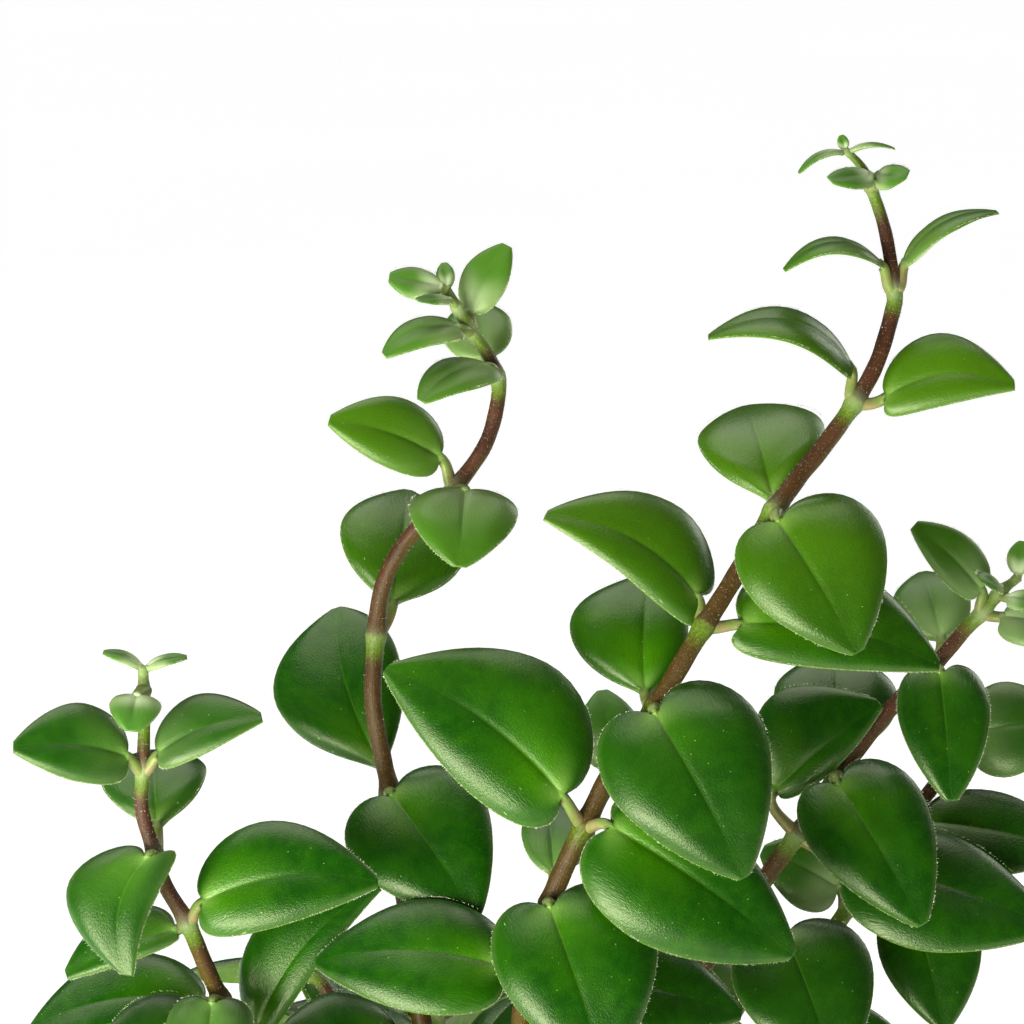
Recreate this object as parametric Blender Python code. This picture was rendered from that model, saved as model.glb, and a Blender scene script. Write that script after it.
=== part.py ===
"""Potted lipstick plant: a clay pot of soil holding arching shoots with paired fleshy leaves.

Metres, +Z up, the pot's underside centred on the origin, the plant's front towards -Y.
"""

import math
from collections import namedtuple

import bmesh
import bpy
from mathutils import Vector

MM = 0.001
GAP = 0.3 * MM

# Pot
POT_HEIGHT = 126 * MM
FOOT_RADIUS = 44 * MM
BODY_TOP_RADIUS = 58 * MM
RIM_RADIUS = 65 * MM
RIM_BAND = 27 * MM
RIM_ROUND = 2 * MM
WALL = 5.5 * MM
FLOOR = 7 * MM
DRAIN_RADIUS = 4.5 * MM
DRAIN_OFFSET = 20 * MM
FIRST_DRAIN = math.radians(30)
DRAINS = 3
POT_SIDES = 32
BAND_FOOT = POT_HEIGHT - RIM_BAND

# Soil
SOIL_TOP = 113 * MM
SOIL_BEVEL = 2 * MM
PLANTING_DEPTH = 12 * MM
HOLE_SIDES = 10

# Shoots
STEM_SIDES = 7
STEM_STEP = 11 * MM
STEM_KNEE = 4 * MM
PETIOLE_RADIUS = 0.8 * MM
PETIOLE_GAP = 0.45 * MM
PETIOLE_BEND = 0.4
STALK_SHARE = 0.14
BLADE_HALF_THICKNESS = 0.55 * MM
BLADE_THINNING = 0.6
FOLD = -0.08

# Half a leaf's outline as the handles of curves, in shares of its length along the midrib and of
# its half width out from it: from the notch to the widest place, then on to the tip
HEART_ALONG = (0, -0.15, -0.13, 0.20)
TAPERED_ALONG = (0, 0.05, 0.14, 0.42)
HEART_OUT = (0, 0.14, 0.86, 0.97)
TAPERED_OUT = (0, 0.34, 0.86, 0.97)
SHOULDER_REACH = 0.27
TIP_REACH = 0.82
TIP_OUT = (0.97, 1.06, 0.46, 0)
WIDEST_MIDRIB = 0.15

# Front view that the main shoots are laid out in: a point of it is (column, row, back),
# with back in mm behind the plane through the plant's middle
VIEW_CENTRE = Vector((0, 0, 280 * MM))
VIEW_TILT = math.radians(10)
VIEW_DISTANCE = 1200 * MM
VIEW_HALF = 512
VIEW_STEP = 0.2 * MM
LEAN_STARTS_ROW = 1250
LEAN_FULL_ROW = 650
VIEW_RIGHT = Vector((1, 0, 0))
VIEW_UP = Vector((0, math.sin(VIEW_TILT), math.cos(VIEW_TILT)))
VIEW_BACK = Vector((0, math.cos(VIEW_TILT), -math.sin(VIEW_TILT)))

# A leaf: its stem joint, base and tip in the front view, half widths in mm to its left and
# right seen from base to tip, the way its upper face looks (right, up, out of the view), in
# mm how far its middle rises over the chord and sways to its right, and its base's shape,
# from 0 for a tapered base to 1 for a heart
Leaf = namedtuple("Leaf", "joint base tip left right face rise sway heart")
# A main shoot: how far its top leans back in mm, its stem points (column, row, back, radius
# in mm) from the tip down, its foot on the soil in mm, its leaves, and the leaves that are one
# with the stem
Shoot = namedtuple("Shoot", "name lean stem foot leaves grown_leaves")
# A branch of a low side shoot: heading in degrees, height, reach and end height over the soil
# in mm, sideways drift in degrees, leaf pairs and leaf length in mm
Branch = namedtuple("Branch", "heading height reach end drift pairs leaf")

LEFT_SHOOT = Shoot(
    "left_shoot",
    -18,
    (
        (143, 668, -10, 0.8), (144, 690, -10, 1.1), (144, 725, -11, 1.2), (143, 770, -12, 1.3),
        (142, 810, -12, 1.4), (155, 855, -12, 1.5), (165, 885, -11, 1.5), (187, 922, -10, 1.6),
        (205, 965, -7, 1.7), (222, 1000, -4, 1.7), (244, 1040, -1, 1.8), (300, 1130, 9, 1.9),
        (370, 1235, 24, 2.0),
    ),
    (-20, 6),
    (
        Leaf(1, (137, 697, -15.5), (131, 731, -22), 5.2, 5.2, (0, 0.4, 1), 1, 0, 1),
        Leaf(3, (127, 757, -14), (13, 747, -20), 7.5, 9.5, (-0.2, 0.4, 1), 2, 1, 0.5),
        Leaf(3, (158, 755, -13), (262, 717, -15), 9.5, 5.5, (0.2, 0.8, 1), 2, -1, 0.5),
        Leaf(5, (157, 825, -6), (155, 750, 16), 11, 10.5, (0, 0.2, 1), 4, 0, -0.3),
        Leaf(5, (148, 857, -17), (128, 976, -25), 6.5, 12.5, (-0.2, 0.3, 1), 2, 3.5, 1),
        Leaf(7, (202, 903, -13), (378, 882, -16), 13, 10, (0.1, 0.4, 1), 3, -2.5, 0.6),
        Leaf(7, (176, 930, -6), (66, 975, -6), 3.5, 9, (-0.2, 0.5, 1), 2, 0, 0.4),
        Leaf(10, (258, 1030, 3), (378, 886, 6), 11, 5, (0, 0.5, 1), 3, -3, 0.3),
        Leaf(9, (205, 1002, 2), (30, 1030, -2), 11, 13, (-0.1, 0.8, 1), 3, 2, 0.5),
        Leaf(10, (222, 1036, -8), (105, 1038, -18), 10, 10, (-0.2, 0.8, 1), 2, 1, 0.6),
        Leaf(9, (212, 1004, -12), (203, 1110, -24), 9, 9, (0, 0.5, 1), 2, 0, 1),
    ),
    (
        Leaf(0, (140, 666, -10), (103, 652, -10), 2.2, 2.2, (0, 1, 0.5), 0.8, 0, 0),
        Leaf(0, (147, 668, -10), (187, 657, -10), 2.2, 2.2, (0, 1, 0.5), 0.8, 0, 0),
        Leaf(11, (282, 1112, 9), (190, 1080, 4), 8.5, 8.5, (-0.2, 0.8, 1), 2, 0, 0.6),
        Leaf(11, (318, 1120, 14), (410, 1100, 26), 10, 10, (0.2, 1, 0.8), 2, 0, 0.5),
    ),
)

MIDDLE_SHOOT = Shoot(
    "middle_shoot",
    12,
    (
        (447, 290, -15, 0.7), (457, 308, -15, 1.1), (470, 330, -14, 1.2), (485, 350, -13, 1.3),
        (497, 375, -12, 1.4), (498, 400, -12, 1.5), (485, 445, -12, 1.5), (455, 488, -12, 1.6),
        (425, 520, -11, 1.6), (400, 550, -9, 1.7), (382, 590, -7, 1.7), (376, 635, -5, 1.8),
        (373, 700, -3, 1.8), (383, 760, 0, 1.8), (390, 793, 0, 1.9), (402, 880, 4, 1.9),
        (414, 960, 8, 2.0), (424, 1040, 12, 2.0), (440, 1140, 18, 2.1), (456, 1240, 26, 2.1),
    ),
    (-8, 9),
    (
        Leaf(2, (470, 311, -12), (507, 245, -11), 5, 5.2, (-0.3, 0.3, 1), 1, -0.6, 0.2),
        Leaf(4, (487, 357, -8), (468, 302, 6), 7.5, 7, (0, 0.2, 1), 2, 0, 0.2),
        Leaf(2, (458, 328, -17), (384, 355, -22), 5, 5, (-0.2, 1.1, 1), 2, 1, 0.5),
        Leaf(4, (489, 367, -16), (421, 401, -26), 6.5, 6.5, (-0.2, 1.2, 1), 2, 1, 0.6),
        Leaf(7, (440, 458, -13), (329, 420, -17), 7, 8.5, (-0.2, 0.4, 1), 2, 1, 0.4),
        Leaf(7, (465, 492, -18), (460, 567, -30), 11, 11, (0, 0.2, 1), 2, 0, 1),
        Leaf(11, (393, 602, 0), (408, 490, 18), 13, 14, (0.1, 0.2, 1), 4, 0, -0.2),
        Leaf(14, (381, 766, 7), (336, 608, 22), 15.5, 12, (-0.1, 0.2, 1), 4, -2, -0.4),
        Leaf(14, (392, 795, -6), (477, 917, -14), 15.5, 14.5, (0, 0.3, 1), 3, 0, 1),
        Leaf(17, (400, 1044, 5), (275, 1040, -4), 11, 11, (-0.1, 0.8, 1), 3, 1, 0.6),
    ),
    (
        Leaf(0, (441, 288, -15), (389, 277, -16), 4, 3.6, (0, 0.6, 1), 0.6, 0, 0),
        Leaf(0, (447, 287, -15), (444, 263, -12), 1.9, 1.9, (0, 0.2, 1), 0.3, 0, 0),
        Leaf(1, (450, 300, -17), (417, 300, -22), 2.2, 2.2, (0, 1, 0.6), 0.3, 0, 0),
        Leaf(18, (424, 1138, 14), (336, 1172, 0), 11, 11, (-0.1, 0.8, 1), 2, 0, 0.6),
        Leaf(18, (450, 1128, 26), (500, 1100, 52), 11, 11, (0.2, 1, 0.4), 2, 0, 0.5),
    ),
)

TALL_SHOOT = Shoot(
    "tall_shoot",
    -6,
    (
        (845, 150, -5, 0.6), (860, 165, -5, 0.9), (870, 185, -5, 1.1), (885, 230, -5, 1.3),
        (894, 290, -6, 1.4), (893, 310, -6, 1.6), (878, 360, -8, 1.6), (855, 402, -10, 1.7),
        (825, 445, -11, 1.8), (800, 475, -12, 1.8), (775, 510, -14, 1.9), (745, 560, -15, 1.9),
        (705, 625, -17, 1.9), (690, 650, -18, 1.9), (655, 707, -19, 1.9), (610, 775, -20, 2.0),
        (585, 825, -20, 2.0), (568, 860, -19, 2.0), (550, 903, -18, 2.0), (535, 965, -15, 2.1),
        (522, 1015, -12, 2.1), (515, 1100, -2, 2.2), (512, 1200, 10, 2.3),
    ),
    (2, -8),
    (
        Leaf(4, (881, 264, -7), (784, 270, -10), 6, 6, (0, 1, 0.3), 5, 0, 0.3),
        Leaf(4, (905, 263, -5), (998, 212, -5), 5.5, 5.5, (-0.4, 1, 0.35), 3.5, 0, 0.2),
        Leaf(7, (850, 366, -10), (708, 337, -13), 8.5, 8.5, (0.1, 1, 0.5), 7, 0, 0.5),
        Leaf(7, (885, 398, -10), (1015, 385, -14), 10, 6.5, (0.1, 0.4, 1), 2, -3, 0.5),
        Leaf(10, (773, 498, -8), (746, 406, 16), 12, 14, (0, 0.2, 1), 4.5, 0, -0.4),
        Leaf(10, (778, 521, -19), (858, 653, -26), 17.5, 13, (0, 0.3, 1), 3, 0, 0.85),
        Leaf(12, (697, 597, -15), (545, 515, -18), 8, 13.5, (0, 0.6, 1), 3, 3, 0.9),
        Leaf(12, (740, 624, -16), (940, 666, -10), 16, 8.5, (0.1, 0.4, 1), 3, -2, 0.6),
        Leaf(14, (645, 692, -12), (652, 572, 6), 15, 9, (0, 0.2, 1), 4, -1, 0),
        Leaf(14, (655, 713, -24), (745, 878, -33), 18, 16, (0, 0.3, 1), 4, 0, 1),
        Leaf(16, (563, 797, -25), (386, 668, -19), 13, 18, (0, 0.3, 1), 3, 2.5, 0.6),
        Leaf(16, (610, 826, -26), (794, 955, -25), 13, 16.5, (0.1, 0.3, 1), 4, 0, 0.7),
        Leaf(18, (554, 872, -12), (548, 800, 6), 6, 9, (0, 0.2, 1), 2, 0, 0),
        Leaf(18, (550, 907, -25), (607, 1075, -36), 18.5, 14.5, (0, 0.3, 1), 4, 0, 1),
        Leaf(19, (500, 966, -14), (315, 962, -8), 13, 13, (-0.1, 0.6, 1), 4, 1, 0.6),
        Leaf(19, (562, 980, -10), (742, 1015, -10), 13, 12, (0.1, 0.6, 1), 4, 0, 0.6),
    ),
    (
        Leaf(0, (843, 152, -5), (799, 173, -8), 1.6, 1.6, (0, 1, 0.3), 1.6, 0, 0),
        Leaf(0, (845, 149, -5), (841, 135, -5), 1.2, 1.2, (0, 0.2, 1), 0.2, 0, 0),
        Leaf(0, (849, 151, -5), (895, 149, -5), 1.4, 1.4, (0, 1, 0.3), 1.2, 0, 0),
        Leaf(2, (867, 178, -7), (830, 180, -14), 3, 3, (0, 0.7, 1), 0.6, 0, 0),
        Leaf(2, (877, 177, -5), (909, 178, -9), 3, 3, (0, 0.7, 1), 0.6, 0, 0),
        Leaf(21, (497, 1104, -9), (395, 1120, -24), 12, 12, (-0.1, 0.7, 1), 3, 0, 0.7),
        Leaf(21, (532, 1102, -7), (640, 1130, -22), 12, 12, (0.1, 0.7, 1), 3, 0, 0.7),
    ),
)

RIGHT_SHOOT = Shoot(
    "right_shoot",
    16,
    (
        (1018, 578, -6, 0.7), (1000, 592, -6, 1.2), (983, 612, -5, 1.4), (965, 630, -4, 1.5),
        (930, 670, -3, 1.6), (885, 715, -1, 1.7), (838, 775, 2, 1.8), (797, 835, 6, 1.9),
        (750, 900, 10, 1.9), (700, 970, 14, 2.0), (650, 1050, 18, 2.0), (600, 1150, 24, 2.1),
    ),
    (16, 9),
    (
        Leaf(2, (981, 590, -7), (914, 525, -10), 4.8, 6, (0, 0.3, 1), 1.5, 0.3, 0.5),
        Leaf(2, (1003, 617, -6), (1080, 640, -10), 6, 6, (0.1, 0.6, 1), 2, 0, 0.5),
        Leaf(4, (941, 638, 4), (922, 572, 16), 8.5, 8, (0, 0.2, 1), 3, 0, 0.2),
        Leaf(4, (940, 673, -9), (952, 801, -15), 9.5, 9.5, (0, 0.3, 1), 2, 0, 0.9),
        Leaf(6, (836, 752, 9), (835, 650, 22), 13, 13, (0, 0.2, 1), 4, 0, 0),
        Leaf(6, (838, 784, -7), (923, 925, -14), 14, 12, (0, 0.3, 1), 3, 0, 1),
        Leaf(7, (775, 790, 2), (880, 703, -3), 16, 5, (0, 0.4, 1), 2, 0, 0.4),
        Leaf(7, (850, 862, 4), (1052, 928, 2), 13, 15, (0.1, 0.6, 1), 3, 0, 0.5),
        Leaf(8, (785, 934, 2), (838, 1075, -8), 15, 14, (0, 0.4, 1), 3, 0, 0.9),
    ),
    (
        Leaf(1, (1000, 588, -8), (979, 578, -14), 3, 3, (0, 0.9, 1), 0.6, 0, 0),
        Leaf(0, (1018, 574, -6), (1023, 541, -5), 2.8, 2.8, (-0.3, 0.2, 1), 0.6, 0, 0),
        Leaf(1, (1008, 598, -8), (1040, 604, -12), 3, 3, (0, 0.9, 1), 0.6, 0, 0),
        Leaf(10, (668, 1058, 15), (778, 1090, 4), 11, 11, (0.2, 0.7, 1), 3, 0, 0.6),
        Leaf(11, (618, 1152, 20), (722, 1185, 6), 11, 11, (0.2, 0.8, 1), 3, 0, 0.6),
    ),
)

BACK_RIGHT_SHOOT = Shoot(
    "back_right_shoot",
    16,
    (
        (1045, 700, 22, 0.9), (1000, 722, 22, 1.2), (955, 762, 22, 1.4), (925, 797, 22, 1.5),
        (885, 850, 22, 1.6), (850, 905, 23, 1.7), (810, 965, 24, 1.8), (750, 1050, 27, 1.9),
        (680, 1150, 31, 2.0),
    ),
    (26, 13),
    (),
    (
        Leaf(2, (968, 734, 18), (1068, 722, 15), 10.5, 10.5, (0.1, 0.4, 1), 2, 0, 0.5),
        Leaf(4, (925, 822, 19), (1075, 850, 14), 10, 10, (0.1, 0.5, 1), 2, 0, 0.5),
        Leaf(5, (912, 902, 16), (945, 1030, 10), 12, 9.5, (0, 0.3, 1), 2, 0, 0.6),
        Leaf(5, (838, 888, 20), (762, 850, 18), 8, 8, (0, 0.4, 1), 2, 0, 0.6),
        Leaf(7, (735, 1025, 34), (648, 978, 36), 12, 12, (0, 0.4, 1), 2, 0, 0.5),
        Leaf(7, (780, 1036, 24), (903, 1040, 25), 9.5, 9.5, (0, 0.5, 1), 2, 0, 0.5),
    ),
)

BACK_MIDDLE_SHOOT = Shoot(
    "back_middle_shoot",
    8,
    (
        (622, 752, 30, 0.9), (632, 800, 31, 1.2), (640, 870, 32, 1.5), (630, 940, 33, 1.7),
        (612, 1010, 34, 1.8), (590, 1100, 38, 1.9), (572, 1180, 44, 1.9),
    ),
    (10, 26),
    (),
    (
        Leaf(1, (614, 770, 30), (602, 690, 34), 6.5, 7, (0, 0.3, 1), 2, 0, 0.2),
        Leaf(1, (650, 794, 30), (738, 776, 28), 9, 9, (0, 0.5, 1), 2, 0, 0.5),
        Leaf(2, (655, 868, 34), (768, 884, 40), 11, 11, (0, 0.4, 1), 2, 0, 0.5),
        Leaf(3, (612, 940, 33), (512, 952, 38), 11, 11, (0, 0.6, 1), 2, 0, 0.5),
        Leaf(3, (648, 930, 38), (742, 902, 57), 9, 9, (0, 0.6, 1), 2, 0, 0.5),
        Leaf(4, (618, 1006, 44), (640, 990, 72), 11, 11, (0, 1, 0.3), 3, 0, 0.5),
        Leaf(4, (590, 1015, 34), (490, 1030, 44), 11, 11, (0, 0.8, 1), 2, 0, 0.5),
    ),
)

MAIN_SHOOTS = (LEFT_SHOOT, MIDDLE_SHOOT, TALL_SHOOT, RIGHT_SHOOT)
GROWN_SHOOTS = (BACK_RIGHT_SHOOT, BACK_MIDDLE_SHOOT)

# Side shoots, each with its foot's heading and radius in mm and its branches from that foot
SIDE_SHOOTS = (
    ("front_left_shoot", 226, 31, (Branch(230, 38, 104, 0, 5, 5, 31),)),
    ("front_shoot", 278, 28, (Branch(276, 30, 90, -6, -2, 4, 28),)),
    ("front_right_shoot", 322, 31, (Branch(328, 44, 106, 4, 4, 5, 31),)),
    ("right_low_shoot", 14, 36, (Branch(12, 34, 104, -4, -4, 5, 30),)),
    ("back_left_shoot", 118, 33, (Branch(112, 46, 106, 6, -6, 5, 31), Branch(150, 56, 68, 50, 0, 3, 27))),
    ("left_low_shoot", 176, 38, (Branch(171, 33, 104, -4, 6, 5, 30),)),
)
SIDE_STEM_RADIUS = 1.9 * MM
SIDE_STEM_TAPER = 0.6
SIDE_STEM_STEPS = 9
# The handles of a branch's arch: out over its reach, and up over its height
ARCH_START = 4
ARCH_SHOULDER = 0.7
ARCH_CROWN = 1.35
ARCH_TURN = 3
SIDE_FIRST_PAIR = 0.34
SIDE_LAST_PAIR = 0.93
SIDE_LEAF_SWEEP = (68, 50)
SIDE_LEAF_SHINGLE = math.radians(30)
SIDE_TIP_SHRINK = 0.55
# Shares of a side leaf's length: half width, petiole, lift at its base, droop and bow of its blade
SIDE_LEAF_HALF = 0.4
SIDE_LEAF_STALK = 0.16
SIDE_LEAF_LIFT = 0.15
SIDE_LEAF_DROOP = 0.12
SIDE_LEAF_RISE = 0.1
SIDE_LEAF_HEART = 0.7

# Colours, roughness
CLAY = ((0.56, 0.27, 0.16), 0.8)
EARTH = ((0.055, 0.036, 0.025), 0.95)
LEAF_GREEN = ((0.06, 0.16, 0.02), 0.35)
STEM_BROWN = ((0.16, 0.09, 0.06), 0.6)


def clear_scene():
    for thing in list(bpy.data.objects):
        bpy.data.objects.remove(thing, do_unlink=True)


def material(name, look):
    colour, roughness = look
    made = bpy.data.materials.new(name)
    made.use_nodes = True
    shader = made.node_tree.nodes["Principled BSDF"]
    shader.inputs["Base Color"].default_value = (*colour, 1)
    shader.inputs["Roughness"].default_value = roughness
    shader.inputs["Metallic"].default_value = 0
    return made


def make_object(name, bm, look, smooth_angle=40):
    """The bmesh as a named object with its own material, its faces turned outwards."""
    bmesh.ops.recalc_face_normals(bm, faces=bm.faces)
    mesh = bpy.data.meshes.new(name)
    bm.to_mesh(mesh)
    bm.free()
    mesh.shade_smooth()
    mesh.set_sharp_from_angle(angle=math.radians(smooth_angle))
    mesh.materials.append(material(name, look))
    made = bpy.data.objects.new(name, mesh)
    bpy.context.collection.objects.link(made)
    return made


def turned(profile, sides):
    """A closed body turned about Z from a profile that starts and ends on the axis."""
    bm = bmesh.new()
    rings = []
    for radius, height in profile[1:-1]:
        angles = [2 * math.pi * i / sides for i in range(sides)]
        rings.append([bm.verts.new((radius * math.cos(a), radius * math.sin(a), height)) for a in angles])
    for low, high in zip(rings, rings[1:]):
        for i in range(sides):
            j = (i + 1) % sides
            bm.faces.new((low[i], low[j], high[j], high[i]))
    for ring, (_, height) in ((rings[0], profile[0]), (rings[-1], profile[-1])):
        centre = bm.verts.new((0, 0, height))
        for i in range(sides):
            bm.faces.new((centre, ring[i], ring[(i + 1) % sides]))
    return bm


def combine(target, helper, operation, solver="EXACT"):
    """Boolean of target with helper, worked into the target's mesh."""
    modifier = target.modifiers.new("combine", "BOOLEAN")
    modifier.operation = operation
    modifier.object = helper
    modifier.solver = solver
    bpy.context.view_layer.update()
    evaluated = target.evaluated_get(bpy.context.evaluated_depsgraph_get())
    combined = bpy.data.meshes.new_from_object(evaluated)
    target.modifiers.remove(modifier)
    target.data = combined
    bpy.data.objects.remove(helper, do_unlink=True)


def helper_object(bm):
    """The bmesh as a wire object that other objects are cut by or joined with."""
    bmesh.ops.recalc_face_normals(bm, faces=bm.faces)
    mesh = bpy.data.meshes.new("helper")
    bm.to_mesh(mesh)
    bm.free()
    made = bpy.data.objects.new("helper", mesh)
    made.hide_render = True
    made.display_type = "WIRE"
    bpy.context.collection.objects.link(made)
    return made


def grow(stem_object, blade, root, outward, outline):
    """Joins one leaf to the stem that it grows from, as one body."""
    bm = bmesh.new()
    add_leaf(bm, blade, root, outward, outline)
    combine(stem_object, helper_object(bm), "UNION", "MANIFOLD")


def column(bm, centre, radius, bottom, top, sides):
    """A vertical round bar between two heights."""
    bmesh.ops.create_cone(
        bm, cap_ends=True, segments=sides, radius1=radius, radius2=radius, depth=top - bottom,
    )
    added = bm.verts[-2 * sides:]
    bmesh.ops.translate(bm, verts=added, vec=(centre[0], centre[1], (top + bottom) / 2))


def wall_radius(height):
    """The pot's outer radius below its rim band, at a height."""
    return FOOT_RADIUS + (BODY_TOP_RADIUS - FOOT_RADIUS) * height / BAND_FOOT


def inner_wall():
    """The pot's inside from its floor to its lip, as (radius, height)."""
    return [
        (wall_radius(FLOOR) - WALL, FLOOR),
        (BODY_TOP_RADIUS - WALL, BAND_FOOT - RIM_ROUND),
        (RIM_RADIUS - WALL - RIM_ROUND, POT_HEIGHT - RIM_ROUND),
    ]


def inner_radius(height):
    """The radius of the pot's inside at a height."""
    floor, knee, lip = inner_wall()
    low, high = (floor, knee) if height <= knee[1] else (knee, lip)
    share = (height - low[1]) / (high[1] - low[1])
    return low[0] + (high[0] - low[0]) * share


def make_pot():
    """A tapered clay pot with a thick rim band and drainage holes in its floor."""
    profile = [
        (0, 0),
        (FOOT_RADIUS - RIM_ROUND, 0),
        (wall_radius(RIM_ROUND), RIM_ROUND),
        (BODY_TOP_RADIUS, BAND_FOOT),
        (RIM_RADIUS - RIM_ROUND, BAND_FOOT),
        (RIM_RADIUS - RIM_ROUND / 2, BAND_FOOT + RIM_ROUND),
        (RIM_RADIUS, POT_HEIGHT - RIM_ROUND),
        (RIM_RADIUS - RIM_ROUND, POT_HEIGHT),
        (RIM_RADIUS - WALL, POT_HEIGHT),
        *reversed(inner_wall()),
        (0, FLOOR),
    ]
    pot = make_object("pot", turned(profile, POT_SIDES), CLAY)
    drains = bmesh.new()
    for i in range(DRAINS):
        angle = FIRST_DRAIN + 2 * math.pi * i / DRAINS
        centre = (DRAIN_OFFSET * math.cos(angle), DRAIN_OFFSET * math.sin(angle))
        column(drains, centre, DRAIN_RADIUS, -FLOOR, 2 * FLOOR, HOLE_SIDES)
    combine(pot, helper_object(drains), "DIFFERENCE")


def make_soil(feet):
    """Soil filling the pot, with a planting hole under each stem."""
    floor = FLOOR + GAP
    knee = BAND_FOOT - RIM_ROUND
    bevel = SOIL_TOP - SOIL_BEVEL
    edge = inner_radius(bevel) - GAP
    profile = [
        (0, floor),
        (inner_radius(floor) - GAP, floor),
        (inner_radius(knee) - GAP, knee),
        (edge, bevel),
        (edge - SOIL_BEVEL, SOIL_TOP),
        (0, SOIL_TOP),
    ]
    soil = make_object("soil", turned(profile, POT_SIDES), EARTH)
    holes = bmesh.new()
    for centre, radius in feet:
        bottom = SOIL_TOP - PLANTING_DEPTH - GAP
        column(holes, centre, radius + 2 * GAP, bottom, POT_HEIGHT, HOLE_SIDES)
    combine(soil, helper_object(holes), "DIFFERENCE")


def in_view(column_px, row_px, back_mm, lean_mm):
    """The point at a column and row of the front view, a distance behind its middle plane."""
    leaning = (LEAN_STARTS_ROW - row_px) / (LEAN_STARTS_ROW - LEAN_FULL_ROW)
    back = (back_mm + lean_mm * min(1, max(0, leaning))) * MM
    spread = VIEW_STEP * (1 + back / VIEW_DISTANCE)
    across = (column_px - VIEW_HALF) * spread
    up = (VIEW_HALF - row_px) * spread
    return VIEW_CENTRE + VIEW_RIGHT * across + VIEW_UP * up + VIEW_BACK * back


def smooth_curve(points, values, step):
    """Points and values along a Catmull-Rom curve through the given ones."""
    line = []
    ends = [points[0] * 2 - points[1], *points, points[-1] * 2 - points[-2]]
    for i in range(len(points) - 1):
        before, start, end, after = ends[i:i + 4]
        count = max(1, round((end - start).length / step))
        for k in range(count):
            t = k / count
            place = 0.5 * (
                2 * start + (end - before) * t
                + (2 * before - 5 * start + 4 * end - after) * t ** 2
                + (3 * start - before - 3 * end + after) * t ** 3
            )
            line.append((place, values[i] + (values[i + 1] - values[i]) * t))
    line.append((points[-1], values[-1]))
    return line


def add_tube(bm, line, sides):
    """A closed tube through (point, radius) pairs."""
    places = [place for place, _ in line]
    side = Vector((0, 1, 0))
    rings = []
    for i, (place, radius) in enumerate(line):
        forward = places[min(i + 1, len(places) - 1)] - places[max(i - 1, 0)]
        forward.normalize()
        side = (side - forward * side.dot(forward)).normalized()
        other = forward.cross(side)
        ring = []
        for k in range(sides):
            angle = 2 * math.pi * (k + 0.5) / sides
            ring.append(bm.verts.new(place + (side * math.cos(angle) + other * math.sin(angle)) * radius))
        rings.append(ring)
    for low, high in zip(rings, rings[1:]):
        for k in range(sides):
            j = (k + 1) % sides
            bm.faces.new((low[k], low[j], high[j], high[k]))
    bm.faces.new(rings[0])
    bm.faces.new(rings[-1])


def bezier(a, b, c, d, t):
    """A cubic Bezier curve's point; works on numbers and on vectors."""
    s = 1 - t
    return a * s ** 3 + b * (3 * s * s * t) + c * (3 * s * t * t) + d * t ** 3


def between(tapered, heart_shaped, heart):
    """Handles between those of a tapered base and those of a heart."""
    return [a + (b - a) * heart for a, b in zip(tapered, heart_shaped)]


def leaf_outline(heart, steps_to_widest=3, steps_to_tip=4):
    """Half an outline as (along, out, along the midrib), from the notch to before the tip."""
    back = between(TAPERED_ALONG, HEART_ALONG, heart)
    round_out = between(TAPERED_OUT, HEART_OUT, heart)
    widest = back[-1]
    onward = (widest, widest + SHOULDER_REACH, TIP_REACH, 1)
    outline = []
    for i in range(1, steps_to_widest + 1):
        t = i / steps_to_widest
        outline.append((bezier(*back, t), bezier(*round_out, t), WIDEST_MIDRIB * t))
    for i in range(1, steps_to_tip):
        t = i / steps_to_tip
        along = bezier(*onward, t)
        share = (along - widest) / (1 - widest)
        mid = WIDEST_MIDRIB + (1 - WIDEST_MIDRIB) * share
        outline.append((along, bezier(*TIP_OUT, t), mid))
    return outline


class Blade:
    """A leaf's midrib and directions, from which any point of it is read."""

    def __init__(self, base, tip, face, left, right, rise, sway, heart):
        self.base = base
        self.chord = tip - base
        along = self.chord.normalized()
        self.up = (face - along * face.dot(along)).normalized()
        self.side = along.cross(self.up)
        self.left, self.right = left, right
        self.rise, self.sway = rise, sway
        self.heart = heart
        self.stalk = min(PETIOLE_RADIUS, STALK_SHARE * (left + right))

    def midrib(self, t):
        """The midrib's point; behind the base it runs straight on."""
        bow = 4 * t * (1 - t) if t > 0 else 4 * t
        return self.base + self.chord * t + self.up * (self.rise * bow) + self.side * (self.sway * bow)

    def edge(self, along, out, sign):
        """A point of the margin: sign is 1 on the leaf's right and -1 on its left."""
        half = self.right if sign > 0 else self.left
        width = self.stalk + (half - self.stalk) * out
        return self.midrib(along) + self.side * (sign * width) + self.up * (FOLD * width)


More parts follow.
